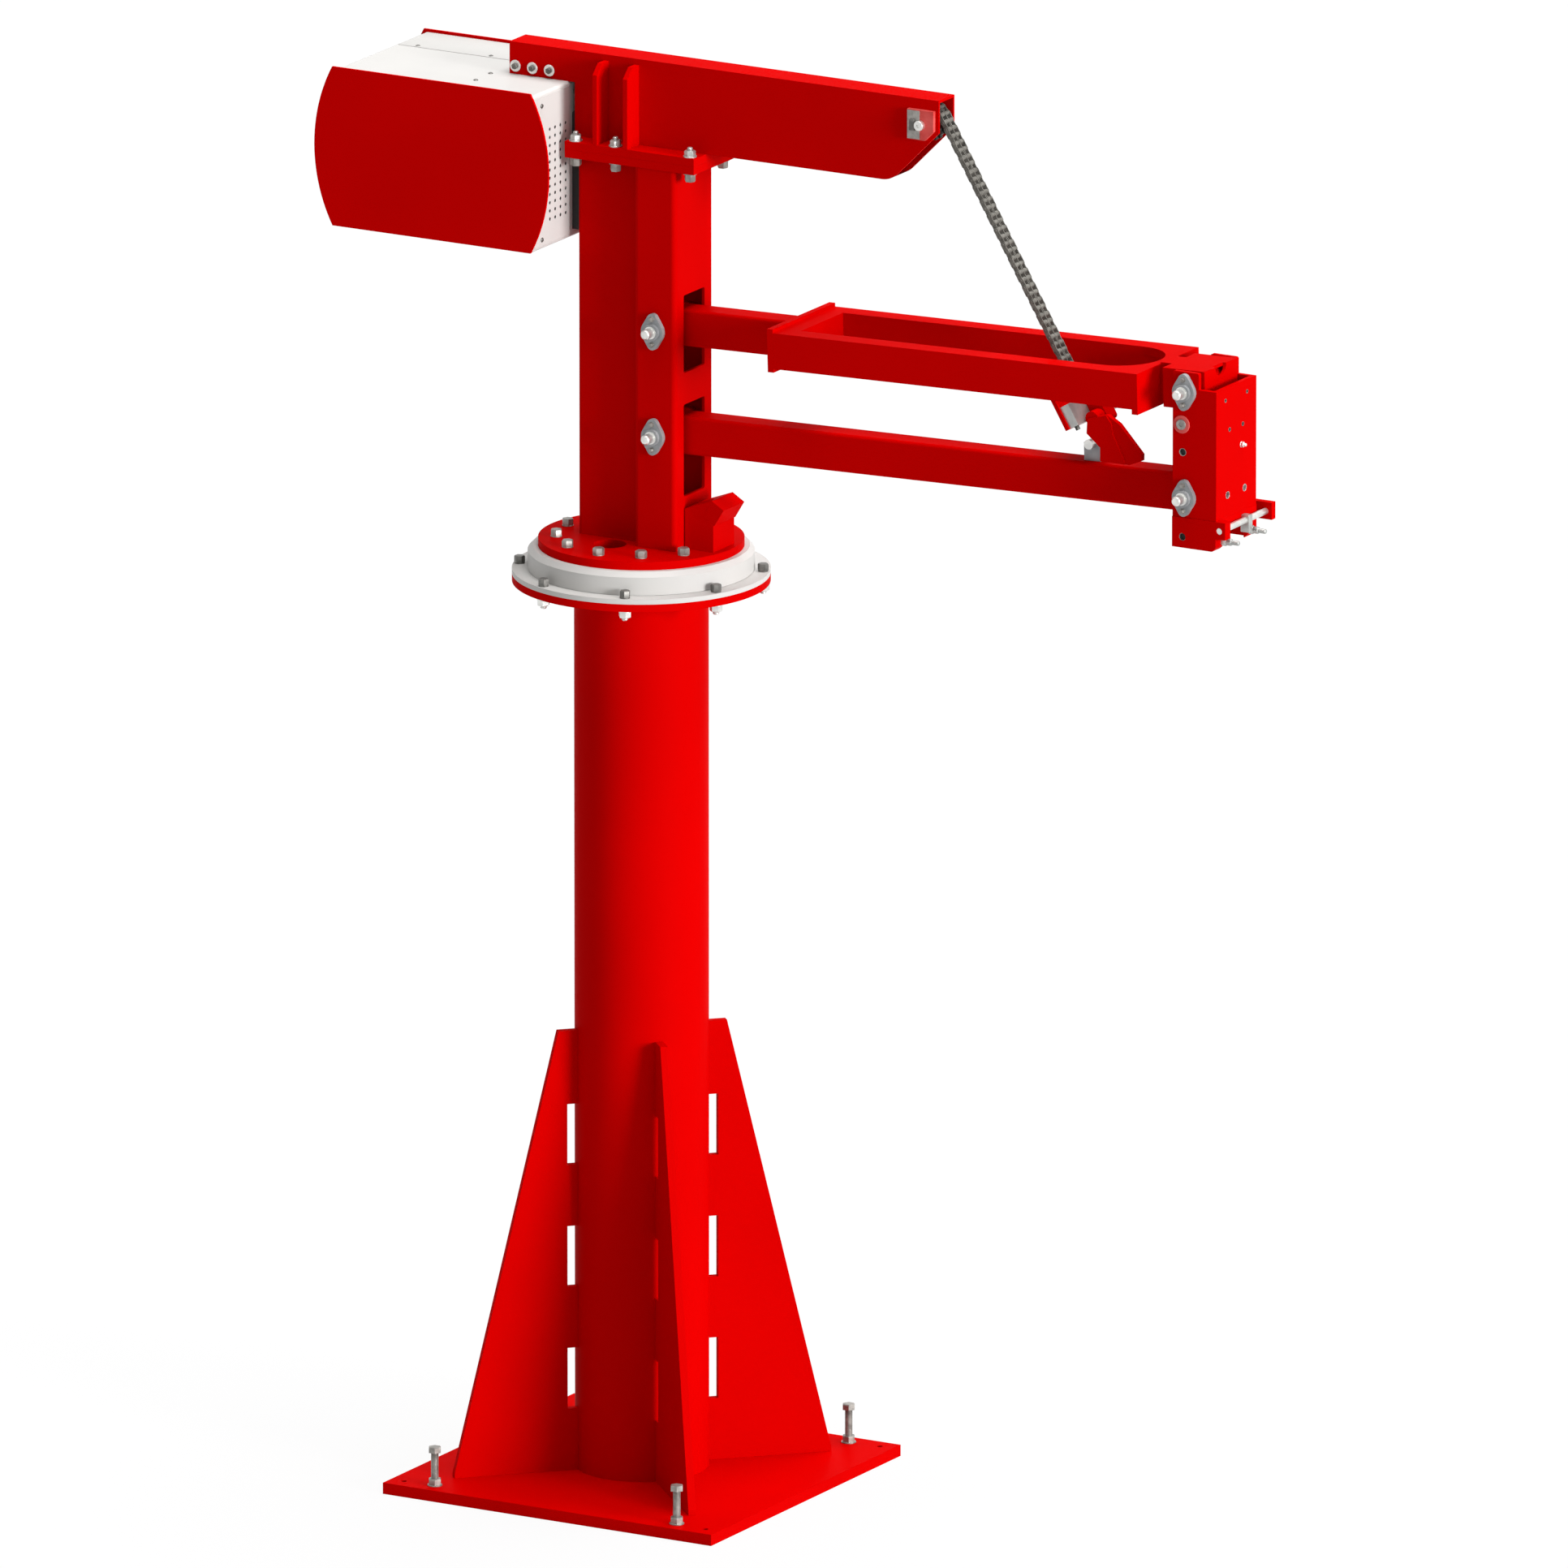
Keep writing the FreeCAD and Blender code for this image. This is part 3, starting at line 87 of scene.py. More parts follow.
# Bolts: width across flats, head height, washer radius, washer thickness
RING_BOLT = (0.023, 0.016, 0.0125, 0.003)
RING_NUT = (0.027, 0.014, 0.0160, 0.003)
DISC_BOLT = (0.025, 0.016, 0.0140, 0.002)
PLATE_BOLT = (0.024, 0.018, 0.0165, 0.003)
PLATE_NUT = (0.024, 0.013, 0.0165, 0.003)
BEARING_BOLT = (0.0100, 0.0055, 0.0070, 0.0012)
BLOCK_BOLT = (0.0105, 0.009, 0.0068, 0.0012)
BOOM_BOLT = (0.0135, 0.006, 0.0145, 0.003)
FACE_NUT = (0.012, 0.006, 0.0075, 0.001)
THREAD = 0.0018

# Shares of a fastener's own size
HEX_SHOULDER = 0.84
HEX_TOP = 0.88
WASHER_SHOULDER = 0.8
WASHER_TOP = 0.96
THREAD_ROOT = 0.88
TIP_R = 0.72
TIP_H = 0.28
NUT_STUD_R = 0.29
NUT_STUD_L = 0.25
CUP_CHAMFER = 0.1
CUP_FLOOR = 0.1
DOME_ANGLES = (20, 40, 58)
SOCKET_R = 0.36
SOCKET_RIM = 0.9
SOCKET_FLOOR_R = 0.9
SOCKET_FLOOR = 0.35

# Sides of round meshes
PIN_SIDES = 40
RING_SIDES = 36
PLUG_SIDES = 32
WASHER_SIDES = 28
COLLAR_SIDES = 24
STUD_SIDES = 20
ROLLER_SIDES = 18
RIVET_SIDES = 14
VENT_SIDES = 14

# Turn of a head about its own axis, for each radian or metre of its place
DISC_BOLT_TURN = 1.7
PLATE_NUT_TURN = 9
PLATE_BOLT_TURN = 5
BOOM_BOLT_TURN = 20
BEARING_BOLT_TURN = 40
BLOCK_BOLT_TURN = 30

# Anchor studs
ANCHOR_FLATS = 0.0286
ANCHOR_R = 0.0095
ANCHOR_HEAD_H = 0.014
ANCHOR_NUT_H = 0.015
ANCHOR_WASHER_R = 0.018
ANCHOR_WASHER_T = 0.003
ANCHOR_THREAD = 0.0026

# Bolt circles and rows
RING_BOLT_R = 0.295
RING_BOLT_COUNT = 8
DISC_BOLT_R = 0.204
DISC_BOLT_COUNT = 12
STOP_POST_CLEAR_Y = 0.06
PLATE_BOLT_X = (-0.135, -0.025, 0.181)
PLATE_BOLT_Y = 0.078
BOOM_BOLT_X = (-0.325, -0.278, -0.231)
BOOM_BOLT_Z = 3.474
BEARING_BOLT_UP = 0.0315
BEARING_FACE_IN = 0.008
BLOCK_BOLT_DOWN = 0.028
BLOCK_BOLT_Y = 0.083

# Pivot pins
PIVOT_SPACING = 0.260
PIN_R = 0.012
PIN_END_R = 0.009
PIN_CHAMFER = 0.003
SNAP_RING_R = 0.0155
SNAP_RING_T = 0.0018

# Keepers of the sheave axle
LOCK_BAR_T = 0.002
LOCK_BAR_INSET_X = 0.001
LOCK_BAR_INSET_Z = 0.002
LOCK_BAR_BEVEL = 0.0006
LOCK_BLOCK_T = 0.005
LOCK_BLOCK_INSET = 0.009
LOCK_BLOCK_AWAY = 0.0128
LOCK_BLOCK_HALF_Z = 0.014
LOCK_BLOCK_BEVEL = 0.0012
AXLE_END_R = 0.0125
AXLE_END_BORE_R = 0.0045
AXLE_END_H = 0.003

# Two-strand roller chain
CHAIN_PITCH = 0.01905
CHAIN_PLATE_R = 0.0062
CHAIN_WAIST = 0.0058
CHAIN_ROLLER_R = 0.00595
CHAIN_PIN_R = 0.0026
ROLLER_HALF_Y = 0.0064
INNER_PLATE_T = 0.0025
MIDDLE_PLATE_T = 0.0026
OUTER_PLATE_T = 0.0024
PLATE_GAP = 0.0001
PIN_STAND = 0.0008
RIVET_CHAMFER = 0.0006
RIVET_TIP = 0.7
STRAND_Y = MIDDLE_PLATE_T / 2 + INNER_PLATE_T + ROLLER_HALF_Y
OUTER_PLATE_Y = STRAND_Y + ROLLER_HALF_Y + INNER_PLATE_T
CHAIN_HALF_Y = OUTER_PLATE_Y + OUTER_PLATE_T
PLATE_END_ANGLES = (-100, -75, -45, -15, 15, 45, 75, 100)
SHEAVE_TEETH = 14
CHAIN_ENTRY_DOWN = 0.0288
BOOM_LINKS = 6

# Tool bracket, with turned profiles as pairs of radius and height
BRACKET_WALL = 0.012
SIDE_PLUG_BACK = 0.010
SIDE_PLUG_DOWN = 0.0816
SIDE_PLUG_RING = ((0.022, 0), (0.022, 0.0014), (0.021, 0.0022))
SIDE_PLUG = ((0.013, 0), (0.013, 0.004), (0.012, 0.005), (0.005, 0.005), (0.005, 0.003))
FACE_STUD_Y = 0.025
FACE_STUD_DOWN = 0.1456
FACE_STUD_R = 0.004
FACE_STUD_L = 0.006
FACE_NUT_TURN = 0.3
CLAMP_Y = 0.065
CLAMP_UP = 0.020
CLAMP_FLATS = 0.019
CLAMP_HEAD_H = 0.012
CLAMP_HEAD_TURN = 0.4
CLAMP_COLLAR = ((0.0085, 0), (0.0085, 0.012), (0.007, 0.014))
CLAMP_STUD_R = 0.006
CLAMP_STUD_L = 0.018
FORK_BLOCK_HALF_X = 0.012
FORK_BLOCK_Y = (0.026, 0.044)
FORK_BLOCK_DOWN = 0.030
FORK_BLOCK_UP = 0.013
FORK_BLOCK_BEVEL = 0.002

# Holes in the bracket's face: distance from the middle, distance below the upper pivot, radius
BARE_HOLES = ((0.052, 0.0216, 0.005), (0.032, 0.0966, 0.0055))
BRIGHT_HOLES = ((0.041, 0.2556, 0.009),)
SLEEVE_STAND = 0.0002
SLEEVE_FIT = 0.0001
FACE_SLEEVE_IN = 0.0009
SPARE_HOLE_R = 0.0095
SPARE_HOLE_BACK = 0.007
SPARE_HOLE_DOWN = 0.1496
SPARE_SLEEVE_IN = 0.0012
# Black disc sunk in each spare hole: painted shade inside the hole
SPARE_SHADE_DISC_IN = 0.0014
SPARE_SHADE_DISC_DEPTH = 0.007
SPARE_SHADE_DISC_T = 0.003

# Collar of the bracket
COLLAR_H = 0.074
COLLAR_HOLE_UP = 0.026
LUG_REACH = 0.026
LUG_DROP = 0.042
FORK_HOLE_R = 0.0085
CHEEK_T = 0.0025
CHEEK_CUT = 0.010

# Hoist trim, with screws by (x, y) on the top and (y, z) on the side
VENT_COLUMNS = 4
VENT_ROWS = 12
VENT_Y = (-0.135, -0.060)
VENT_Z = (3.135, 3.357)
VENT_R = 0.0042
SKIN_T = 0.0012
SKIN_Y = (-0.208, -0.043)
SKIN_INSET_Z = 0.009
# Black sheet behind the hoist's vent holes: painted shade of the hoist's inside
VENT_SHADE_MARGIN = 0.01
VENT_SHADE_SUNK = 0.0004
VENT_SHADE_STAND = 0.0003
VENT_SHADE_BEVEL = 0.0001
SEAM_Y = 0.070
LAP_INSET_X = 0.01
LAP_INSET_Y = 0.006
LAP_SUNK = 0.0004
LAP_STAND = 0.0011
LAP_BEVEL = 0.0003
TOP_SCREWS = ((-0.667, 0.081), (-0.464, 0.082), (-0.379, -0.065), (-0.376, -0.140))
SIDE_SCREWS = ((-0.173, 3.422), (-0.173, 3.092))
SCREW_R = 0.0062
SCREW_H = 0.0032


# Places read from the frame
def box_centre(node):
    low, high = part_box(node)
    return (low + high) / 2


def both_sides(low, high):
    """The near and far face of a box, each with its sign along Y."""
    return (low.y, -1), (high.y, 1)


def bracket_upper_pivot():
    return box_centre("bracket_bearings").z + PIVOT_SPACING / 2


def bracket_face_x():
    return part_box("bracket_face")[1].x


def collar_foot():
    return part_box("bracket_collar")[0].z


# Materials
def node_material(name):
    material = bpy.data.materials.new(name)
    material.use_nodes = True
    shader = material.node_tree.nodes["Principled BSDF"]
    return material, material.node_tree.nodes, material.node_tree.links, shader


def object_noise(nodes, links, scale, detail, stretch=(1, 1, 1)):
    """Noise in the object's own metres, drawn out along an axis where stretch is small."""
    place = nodes.new("ShaderNodeTexCoord")
    mapping = nodes.new("ShaderNodeMapping")
    mapping.inputs["Scale"].default_value = stretch
    noise = nodes.new("ShaderNodeTexNoise")
    noise.inputs["Scale"].default_value = scale
    noise.inputs["Detail"].default_value = detail
    links.new(place.outputs["Object"], mapping.inputs["Vector"])
    links.new(mapping.outputs["Vector"], noise.inputs["Vector"])
    return noise


def colour_ramp(nodes, links, source, dark, light):
    ramp = nodes.new("ShaderNodeValToRGB")
    ramp.color_ramp.elements[0].position = PATCH_DARK_AT
    ramp.color_ramp.elements[1].position = PATCH_LIGHT_AT
    ramp.color_ramp.elements[0].color = (*dark, 1)
    ramp.color_ramp.elements[1].color = (*light, 1)
    links.new(source.outputs["Fac"], ramp.inputs["Fac"])
    return ramp


def value_range(nodes, links, source, low, high):
    mapped = nodes.new("ShaderNodeMapRange")
    mapped.inputs["To Min"].default_value = low
    mapped.inputs["To Max"].default_value = high
    links.new(source.outputs["Fac"], mapped.inputs["Value"])
    return mapped


def surface(name, dark, light, roughness, metallic=0.0, patch_scale=3.0, grain_scale=400.0,
            grain_depth=0.0002, grain_stretch=(1, 1, 1), specular=0.5, edge=0.0012):
    """Finish with slow colour patches, uneven gloss, a fine grain in relief and softened edges."""
    material, nodes, links, shader = node_material(name)
    patches = object_noise(nodes, links, patch_scale, PATCH_DETAIL)
    colour = colour_ramp(nodes, links, patches, dark, light)
    links.new(colour.outputs["Color"], shader.inputs["Base Color"])
    gloss = value_range(nodes, links, patches, roughness[0], roughness[1])
    links.new(gloss.outputs["Result"], shader.inputs["Roughness"])
    shader.inputs["Metallic"].default_value = metallic
    shader.inputs["Specular IOR Level"].default_value = specular
    grain = object_noise(nodes, links, grain_scale, GRAIN_DETAIL, grain_stretch)
    bump = nodes.new("ShaderNodeBump")
    bump.inputs["Strength"].default_value = GRAIN_STRENGTH
    bump.inputs["Distance"].default_value = grain_depth
    links.new(grain.outputs["Fac"], bump.inputs["Height"])
    soft = nodes.new("ShaderNodeBevel")
    soft.samples = EDGE_SAMPLES
    soft.inputs["Radius"].default_value = edge
    links.new(soft.outputs["Normal"], bump.inputs["Normal"])
    links.new(bump.outputs["Normal"], shader.inputs["Normal"])
    return material


RED = surface("red_enamel", (0.51, 0.0, 0.0), (0.55, 0.0, 0.0), (0.42, 0.52), patch_scale=2.2,
              grain_scale=260, grain_depth=0.00015, specular=0.003)
# Pale red on the sheave keepers and on the rings round the bracket's plugs
PALE_RED = surface("pale_pinkish_red", (0.58, 0.055, 0.05), (0.68, 0.11, 0.10), (0.4, 0.55), patch_scale=25,
                   grain_scale=500, specular=0.06)
WHITE = surface("white_powder_coat", (0.53, 0.52, 0.505), (0.57, 0.56, 0.54), (0.45, 0.55),
                grain_scale=700, grain_depth=0.00012, specular=0.2)
ZINC = surface("bright_zinc", (0.62, 0.62, 0.60), (0.80, 0.80, 0.77), (0.26, 0.40), metallic=0.85,
               patch_scale=45, grain_scale=900, grain_depth=0.00008, edge=0.0006)
BOLT_STEEL = surface("bolt_steel", (0.21, 0.20, 0.185), (0.35, 0.335, 0.31), (0.36, 0.52), metallic=0.7,
                     patch_scale=60, grain_scale=900, grain_depth=0.0001, edge=0.0006)
BLACKENED = surface("blackened_steel", (0.10, 0.097, 0.090), (0.18, 0.174, 0.162), (0.34, 0.5),
                    metallic=0.6, patch_scale=60, grain_scale=900, grain_depth=0.0001, edge=0.0006)
BEARING = surface("cast_bearing_grey", (0.24, 0.25, 0.26), (0.33, 0.34, 0.35), (0.45, 0.6), metallic=0.3,
                  patch_scale=40, grain_scale=1100, grain_depth=0.0003, edge=0.0008)
DARK_STEEL = surface("oiled_dark_steel", (0.035, 0.033, 0.030), (0.085, 0.080, 0.072), (0.35, 0.55),
                     metallic=0.7, patch_scale=35, grain_scale=700, edge=0.0008)
CHAIN_STEEL = surface("oiled_chain_steel", (0.10, 0.095, 0.084), (0.18, 0.172, 0.154), (0.5, 0.65),
                      metallic=0.1, patch_scale=90, grain_scale=1500, grain_depth=0.0001, edge=0.0003,
                      specular=0.15)
MACHINED = surface("machined_steel", (0.36, 0.37, 0.36), (0.48, 0.49, 0.47), (0.30, 0.42), metallic=0.7,
                   patch_scale=30, grain_scale=500, grain_stretch=(1, 0.05, 1), edge=0.0008)
# Flat black on the hoist's backing, and painted shade behind the vent holes and inside the spare holes
FLAT_BLACK_AND_SHADE = surface("flat_black_and_painted_shade", (0.012, 0.012, 0.012), (0.022, 0.022, 0.022), (0.6, 0.8), grain_scale=900,
                 grain_depth=0.0003)

NODE_FINISH = {
    WHITE: ("slew_ring_fixed", "slew_ring_turning", "hoist_body"),
    PALE_RED: ("sheave_keepers",),
    ZINC: ("upper_arm_pins", "lower_arm_pins", "sheave_axle", "clevis_pin", "stop_pin", "fork_pin",
           "anchor_bolts"),
    BEARING: ("mast_bearings", "bracket_bearings", "stop_lug"),
    DARK_STEEL: ("chain_sheave", "hoist_lug"),
    CHAIN_STEEL: ("lift_chain", "boom_chain"),
    MACHINED: ("load_block",),
    FLAT_BLACK_AND_SHADE: ("hoist_backing",),
}


def finish_nodes():
    """Give every CAD node its finish, red enamel where no other is named."""
    named = {node: material for material, names in NODE_FINISH.items() for node in names}
    for name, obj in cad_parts.items():
        obj.data.materials.clear()
        obj.data.materials.append(named.get(name, RED))


# Mesh helpers
def facing(point, direction, turn=0.0):
    """Matrix that puts the local origin at a point with local +Z along a direction."""
    aim = Vector(direction).to_track_quat("Z", "Y").to_matrix().to_4x4()
    return Matrix.Translation(Vector(point)) @ aim @ Matrix.Rotation(turn, 4, "Z")


def upright(y, side):
    """Matrix with local x along X and local y up, whose local +Z leaves the plane y to one side."""
    return Matrix(((1, 0, 0, 0), (0, 0, side, y), (0, 1, 0, 0), (0, 0, 0, 1)))


def circle(radius, sides):
    turns = (2 * math.pi * k / sides for k in range(sides))
    return [(radius * math.cos(turn), radius * math.sin(turn)) for turn in turns]


def lathe(bm, place, profile, sides, closed=False):
    """Turn a profile of (radius, height) pairs about local +Z, with capped ends or joined into a tube."""
    rings = []
    for radius, height in profile:
        rings.append([bm.verts.new(place @ Vector((x, y, height))) for x, y in circle(radius, sides)])
    for low, high in zip(rings, rings[1:] + rings[:1] if closed else rings[1:]):
        for k in range(sides):
            bm.faces.new((low[k], low[k - sides + 1], high[k - sides + 1], high[k]))
    if not closed:
        bm.faces.new(rings[0][::-1])
        bm.faces.new(rings[-1])


def sleeve(bm, place, outer, inner, length):
    profile = ((outer, 0), (outer, length), (inner, length), (inner, 0))
    lathe(bm, place, profile, WASHER_SIDES, closed=True)


def pierced_sheet(bm, place, outline, holes, thickness, sides):
    """Flat sheet of local (x, y) outline with round holes (x, y, radius), thickened along local +Z."""
    loops = [outline]
    for x, y, radius in holes:
        loops.append([(x + dx, y + dy) for dx, dy in circle(radius, sides)])
    edges = []
    for loop in loops:
        verts = [bm.verts.new(place @ Vector((x, y, 0))) for x, y in loop]
        edges += [bm.edges.new((verts[k - 1], verts[k])) for k in range(len(verts))]
    filled = bmesh.ops.triangle_fill(bm, edges=edges, use_beauty=True)["geom"]
    faces = [item for item in filled if isinstance(item, bmesh.types.BMFace)]
    grown = bmesh.ops.extrude_face_region(bm, geom=faces)["geom"]
    moved = [item for item in grown if isinstance(item, bmesh.types.BMVert)]
    bmesh.ops.translate(bm, vec=place.to_3x3() @ Vector((0, 0, thickness)), verts=moved)


def prism(bm, place, outline, height):
    """Extrude a flat outline of (x, y) pairs along local +Z."""
    low = [bm.verts.new(place @ Vector((x, y, 0))) for x, y in outline]
    high = [bm.verts.new(place @ Vector((x, y, height))) for x, y in outline]
    count = len(outline)
    for k in range(count):
        bm.faces.new((low[k], low[k - count + 1], high[k - count + 1], high[k]))
    bm.faces.new(low[::-1])
    bm.faces.new(high)


def soft_box(bm, low, high, bevel):
    """Box between two corners with bevelled edges."""
    low, high = Vector(low), Vector(high)
    made = bmesh.ops.create_cube(bm, size=1)["verts"]
    bmesh.ops.scale(bm, vec=high - low, verts=made)
    bmesh.ops.translate(bm, vec=(low + high) / 2, verts=made)
    edges = list({edge for vert in made for edge in vert.link_edges})
    bmesh.ops.bevel(bm, geom=edges, offset=bevel, segments=2, affect="EDGES", profile=0.5)


def hex_head(bm, place, flats, height):
    corner = flats / math.sqrt(3)
    lathe(bm, place, ((corner, 0), (corner, HEX_SHOULDER * height), (HEX_TOP * corner, height)), 6)


def washer(bm, place, radius, thickness):
    profile = ((radius, 0), (radius, WASHER_SHOULDER * thickness), (WASHER_TOP * radius, thickness))
    lathe(bm, place, profile, WASHER_SIDES)


def stud_end(bm, place, radius, length, thread=THREAD):
    """Threaded end with a chamfered tip."""
    turns = max(int(length / thread), 1)
    profile = []
    for k in range(turns):
        profile += [(radius, k * thread), (THREAD_ROOT * radius, (k + 0.5) * thread)]
    profile += [(radius, turns * thread), (TIP_R * radius, turns * thread + TIP_H * radius)]
    lathe(bm, place, profile, STUD_SIDES)


def cup(bm, place, outer, inner, height):
    """Round end with a flat hole sunk in it."""
    chamfer = CUP_CHAMFER * outer
    profile = ((outer, 0), (outer, height - chamfer), (outer - chamfer, height), (inner, height),
               (inner, CUP_FLOOR * height))
    lathe(bm, place, profile, PLUG_SIDES)


def bolt(bm, point, direction, size, turn=0.0, washers=None):
    """Hexagon head on a washer, the washer in a mesh of its own where one is given."""
    flats, height, washer_r, washer_t = size
    washer(washers or bm, facing(point, direction), washer_r, washer_t)
    head = Vector(point) + Vector(direction).normalized() * washer_t
    hex_head(bm, facing(head, direction, turn), flats, height)


def nut(bm, point, direction, size, turn=0.0):
    """Washer, nut and the threaded end standing out of it."""
    bolt(bm, point, direction, size, turn)
    flats, height, _, washer_t = size
    tip = Vector(point) + Vector(direction).normalized() * (washer_t + height)
    stud_end(bm, facing(tip, direction), NUT_STUD_R * flats, NUT_STUD_L * flats)


def pan_screw(bm, point, direction):
    """Domed screw head with a socket sunk in its top."""
    angles = [math.radians(degrees) for degrees in DOME_ANGLES]
    profile = [(SCREW_R, 0)]
    profile += [(SCREW_R * math.cos(angle), SCREW_H * math.sin(angle)) for angle in angles]
    socket = SOCKET_R * SCREW_R
    profile += [(socket, SOCKET_RIM * SCREW_H), (SOCKET_FLOOR_R * socket, SOCKET_FLOOR * SCREW_H)]
    lathe(bm, facing(point, direction), profile, STUD_SIDES)


def make_piece(name, bm, material, body, replaced=()):
    """Turn a mesh into a named piece that rides on a body, or on none."""
    bmesh.ops.recalc_face_normals(bm, faces=bm.faces)
    mesh = bpy.data.meshes.new(name)
    bm.to_mesh(mesh)
    bm.free()
    mesh.polygons.foreach_set("use_smooth", [True] * len(mesh.polygons))
    mesh.set_sharp_from_angle(angle=SHARP_ANGLE)
    mesh.materials.append(material)
    obj = bpy.data.objects.new(name, mesh)
    bpy.context.scene.collection.objects.link(obj)
    if body:
        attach(obj, body)
    if replaced:
        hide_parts(*replaced)
    return obj


# Pedestal
def make_anchor_studs():
    """Anchor studs with washer and nut on the plate and a hexagon head on top."""
    low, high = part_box("anchor_bolts")
    washer_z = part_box("base_plate")[1].z
    nut_z = washer_z + ANCHOR_WASHER_T
    stud_z = nut_z + ANCHOR_NUT_H
    head_z = high.z - ANCHOR_HEAD_H
    corner_x = ANCHOR_FLATS / math.sqrt(3)
    bm = bmesh.new()
    for x in (low.x + corner_x, high.x - corner_x):
        for y in (low.y + ANCHOR_FLATS / 2, high.y - ANCHOR_FLATS / 2):
            washer(bm, facing((x, y, washer_z), UP), ANCHOR_WASHER_R, ANCHOR_WASHER_T)
            hex_head(bm, facing((x, y, nut_z), UP), ANCHOR_FLATS, ANCHOR_NUT_H)
            stud_end(bm, facing((x, y, stud_z), UP), ANCHOR_R, head_z - stud_z, ANCHOR_THREAD)
            hex_head(bm, facing((x, y, head_z), UP), ANCHOR_FLATS, ANCHOR_HEAD_H)
    make_piece("anchor_studs", bm, BOLT_STEEL, "pedestal", ("anchor_bolts",))


def make_ring_bolts():
    ring_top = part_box("slew_ring_fixed")[1].z
    flange_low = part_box("column_flange")[0].z
    heads, nuts = bmesh.new(), bmesh.new()
    for k in range(RING_BOLT_COUNT):
        angle = 2 * math.pi * (k + 0.5) / RING_BOLT_COUNT
        x, y = RING_BOLT_R * math.cos(angle), RING_BOLT_R * math.sin(angle)
        bolt(heads, (x, y, ring_top), UP, RING_BOLT, angle)
        nut(nuts, (x, y, flange_low), DOWN, RING_NUT, angle)
    make_piece("ring_bolt_heads", heads, BLACKENED, "pedestal")
    make_piece("ring_bolt_nuts", nuts, ZINC, "pedestal")


# Mast, boom and hoist
def make_disc_bolts():
    """Circle of bolts in the turntable, left out under the stop post."""
    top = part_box("turntable_disc")[1].z
    post_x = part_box("stop_post")[0].x
    bm = bmesh.new()
    for k in range(DISC_BOLT_COUNT):
        angle = 2 * math.pi * k / DISC_BOLT_COUNT
        x, y = DISC_BOLT_R * math.cos(angle), DISC_BOLT_R * math.sin(angle)
        if x < post_x or abs(y) > STOP_POST_CLEAR_Y:
            bolt(bm, (x, y, top), UP, DISC_BOLT, angle * DISC_BOLT_TURN)
    make_piece("turntable_bolts", bm, BOLT_STEEL, "mast")


def make_plate_bolts():
    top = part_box("boom_base_plate")[1].z
    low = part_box("mast_top_plate")[0].z
    nuts, heads = bmesh.new(), bmesh.new()
    for x in PLATE_BOLT_X:
        for y in (-PLATE_BOLT_Y, PLATE_BOLT_Y):
            nut(nuts, (x, y, top), UP, PLATE_NUT, x * PLATE_NUT_TURN)
            bolt(heads, (x, y, low), DOWN, PLATE_BOLT, x * PLATE_BOLT_TURN)
    make_piece("plate_nuts", nuts, MACHINED, "mast")
    make_piece("plate_bolt_heads", heads, BOLT_STEEL, "mast")


def make_boom_bolts():
    heads, washers = bmesh.new(), bmesh.new()
    for x in BOOM_BOLT_X:
        for y, side in both_sides(*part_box("boom")):
            bolt(heads, (x, y, BOOM_BOLT_Z), (0, side, 0), BOOM_BOLT, x * BOOM_BOLT_TURN, washers)
    make_piece("boom_bolt_heads", heads, BLACKENED, "mast")
    make_piece("boom_bolt_washers", washers, ZINC, "mast")


def make_keeper_bars():
    """Lock bar and dark block over each keeper plate, and a bored end on the axle beside them."""
    low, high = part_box("sheave_keepers")
    axle = box_centre("sheave_axle")
    axle_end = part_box("sheave_axle")[1].y
    bars, blocks, ends = bmesh.new(), bmesh.new(), bmesh.new()
    for y, side in both_sides(low, high):
        bar_y = y + side * LOCK_BAR_T
        inner, outer = sorted((y, bar_y))
        soft_box(bars, (low.x + LOCK_BAR_INSET_X, inner, low.z + LOCK_BAR_INSET_Z),
                 (axle.x - LOCK_BAR_INSET_X, outer, high.z - LOCK_BAR_INSET_Z), LOCK_BAR_BEVEL)
        inner, outer = sorted((bar_y, bar_y + side * LOCK_BLOCK_T))
        soft_box(blocks, (low.x + LOCK_BLOCK_INSET, inner, axle.z - LOCK_BLOCK_HALF_Z),
                 (axle.x - LOCK_BLOCK_AWAY, outer, axle.z + LOCK_BLOCK_HALF_Z), LOCK_BLOCK_BEVEL)
        place = facing((axle.x, side * axle_end, axle.z), (0, side, 0))
        cup(ends, place, AXLE_END_R, AXLE_END_BORE_R, AXLE_END_H)
    make_piece("axle_lock_bars", bars, BOLT_STEEL, "mast")
    make_piece("axle_lock_blocks", blocks, BLACKENED, "mast")
    make_piece("axle_ends", ends, ZINC, "mast")


def make_bearing_bolts(name, node, body):
    """Two bolts in the flange of each bearing, on both sides and at both pivots."""
    low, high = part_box(node)
    centre = (low + high) / 2
    bm = bmesh.new()
    for pivot_z in (centre.z - PIVOT_SPACING / 2, centre.z + PIVOT_SPACING / 2):
        for rise in (-BEARING_BOLT_UP, BEARING_BOLT_UP):
            for y, side in both_sides(low, high):
                point = (centre.x, y - side * BEARING_FACE_IN, pivot_z + rise)
                bolt(bm, point, (0, side, 0), BEARING_BOLT, rise * BEARING_BOLT_TURN)
    make_piece(name, bm, BOLT_STEEL, body)


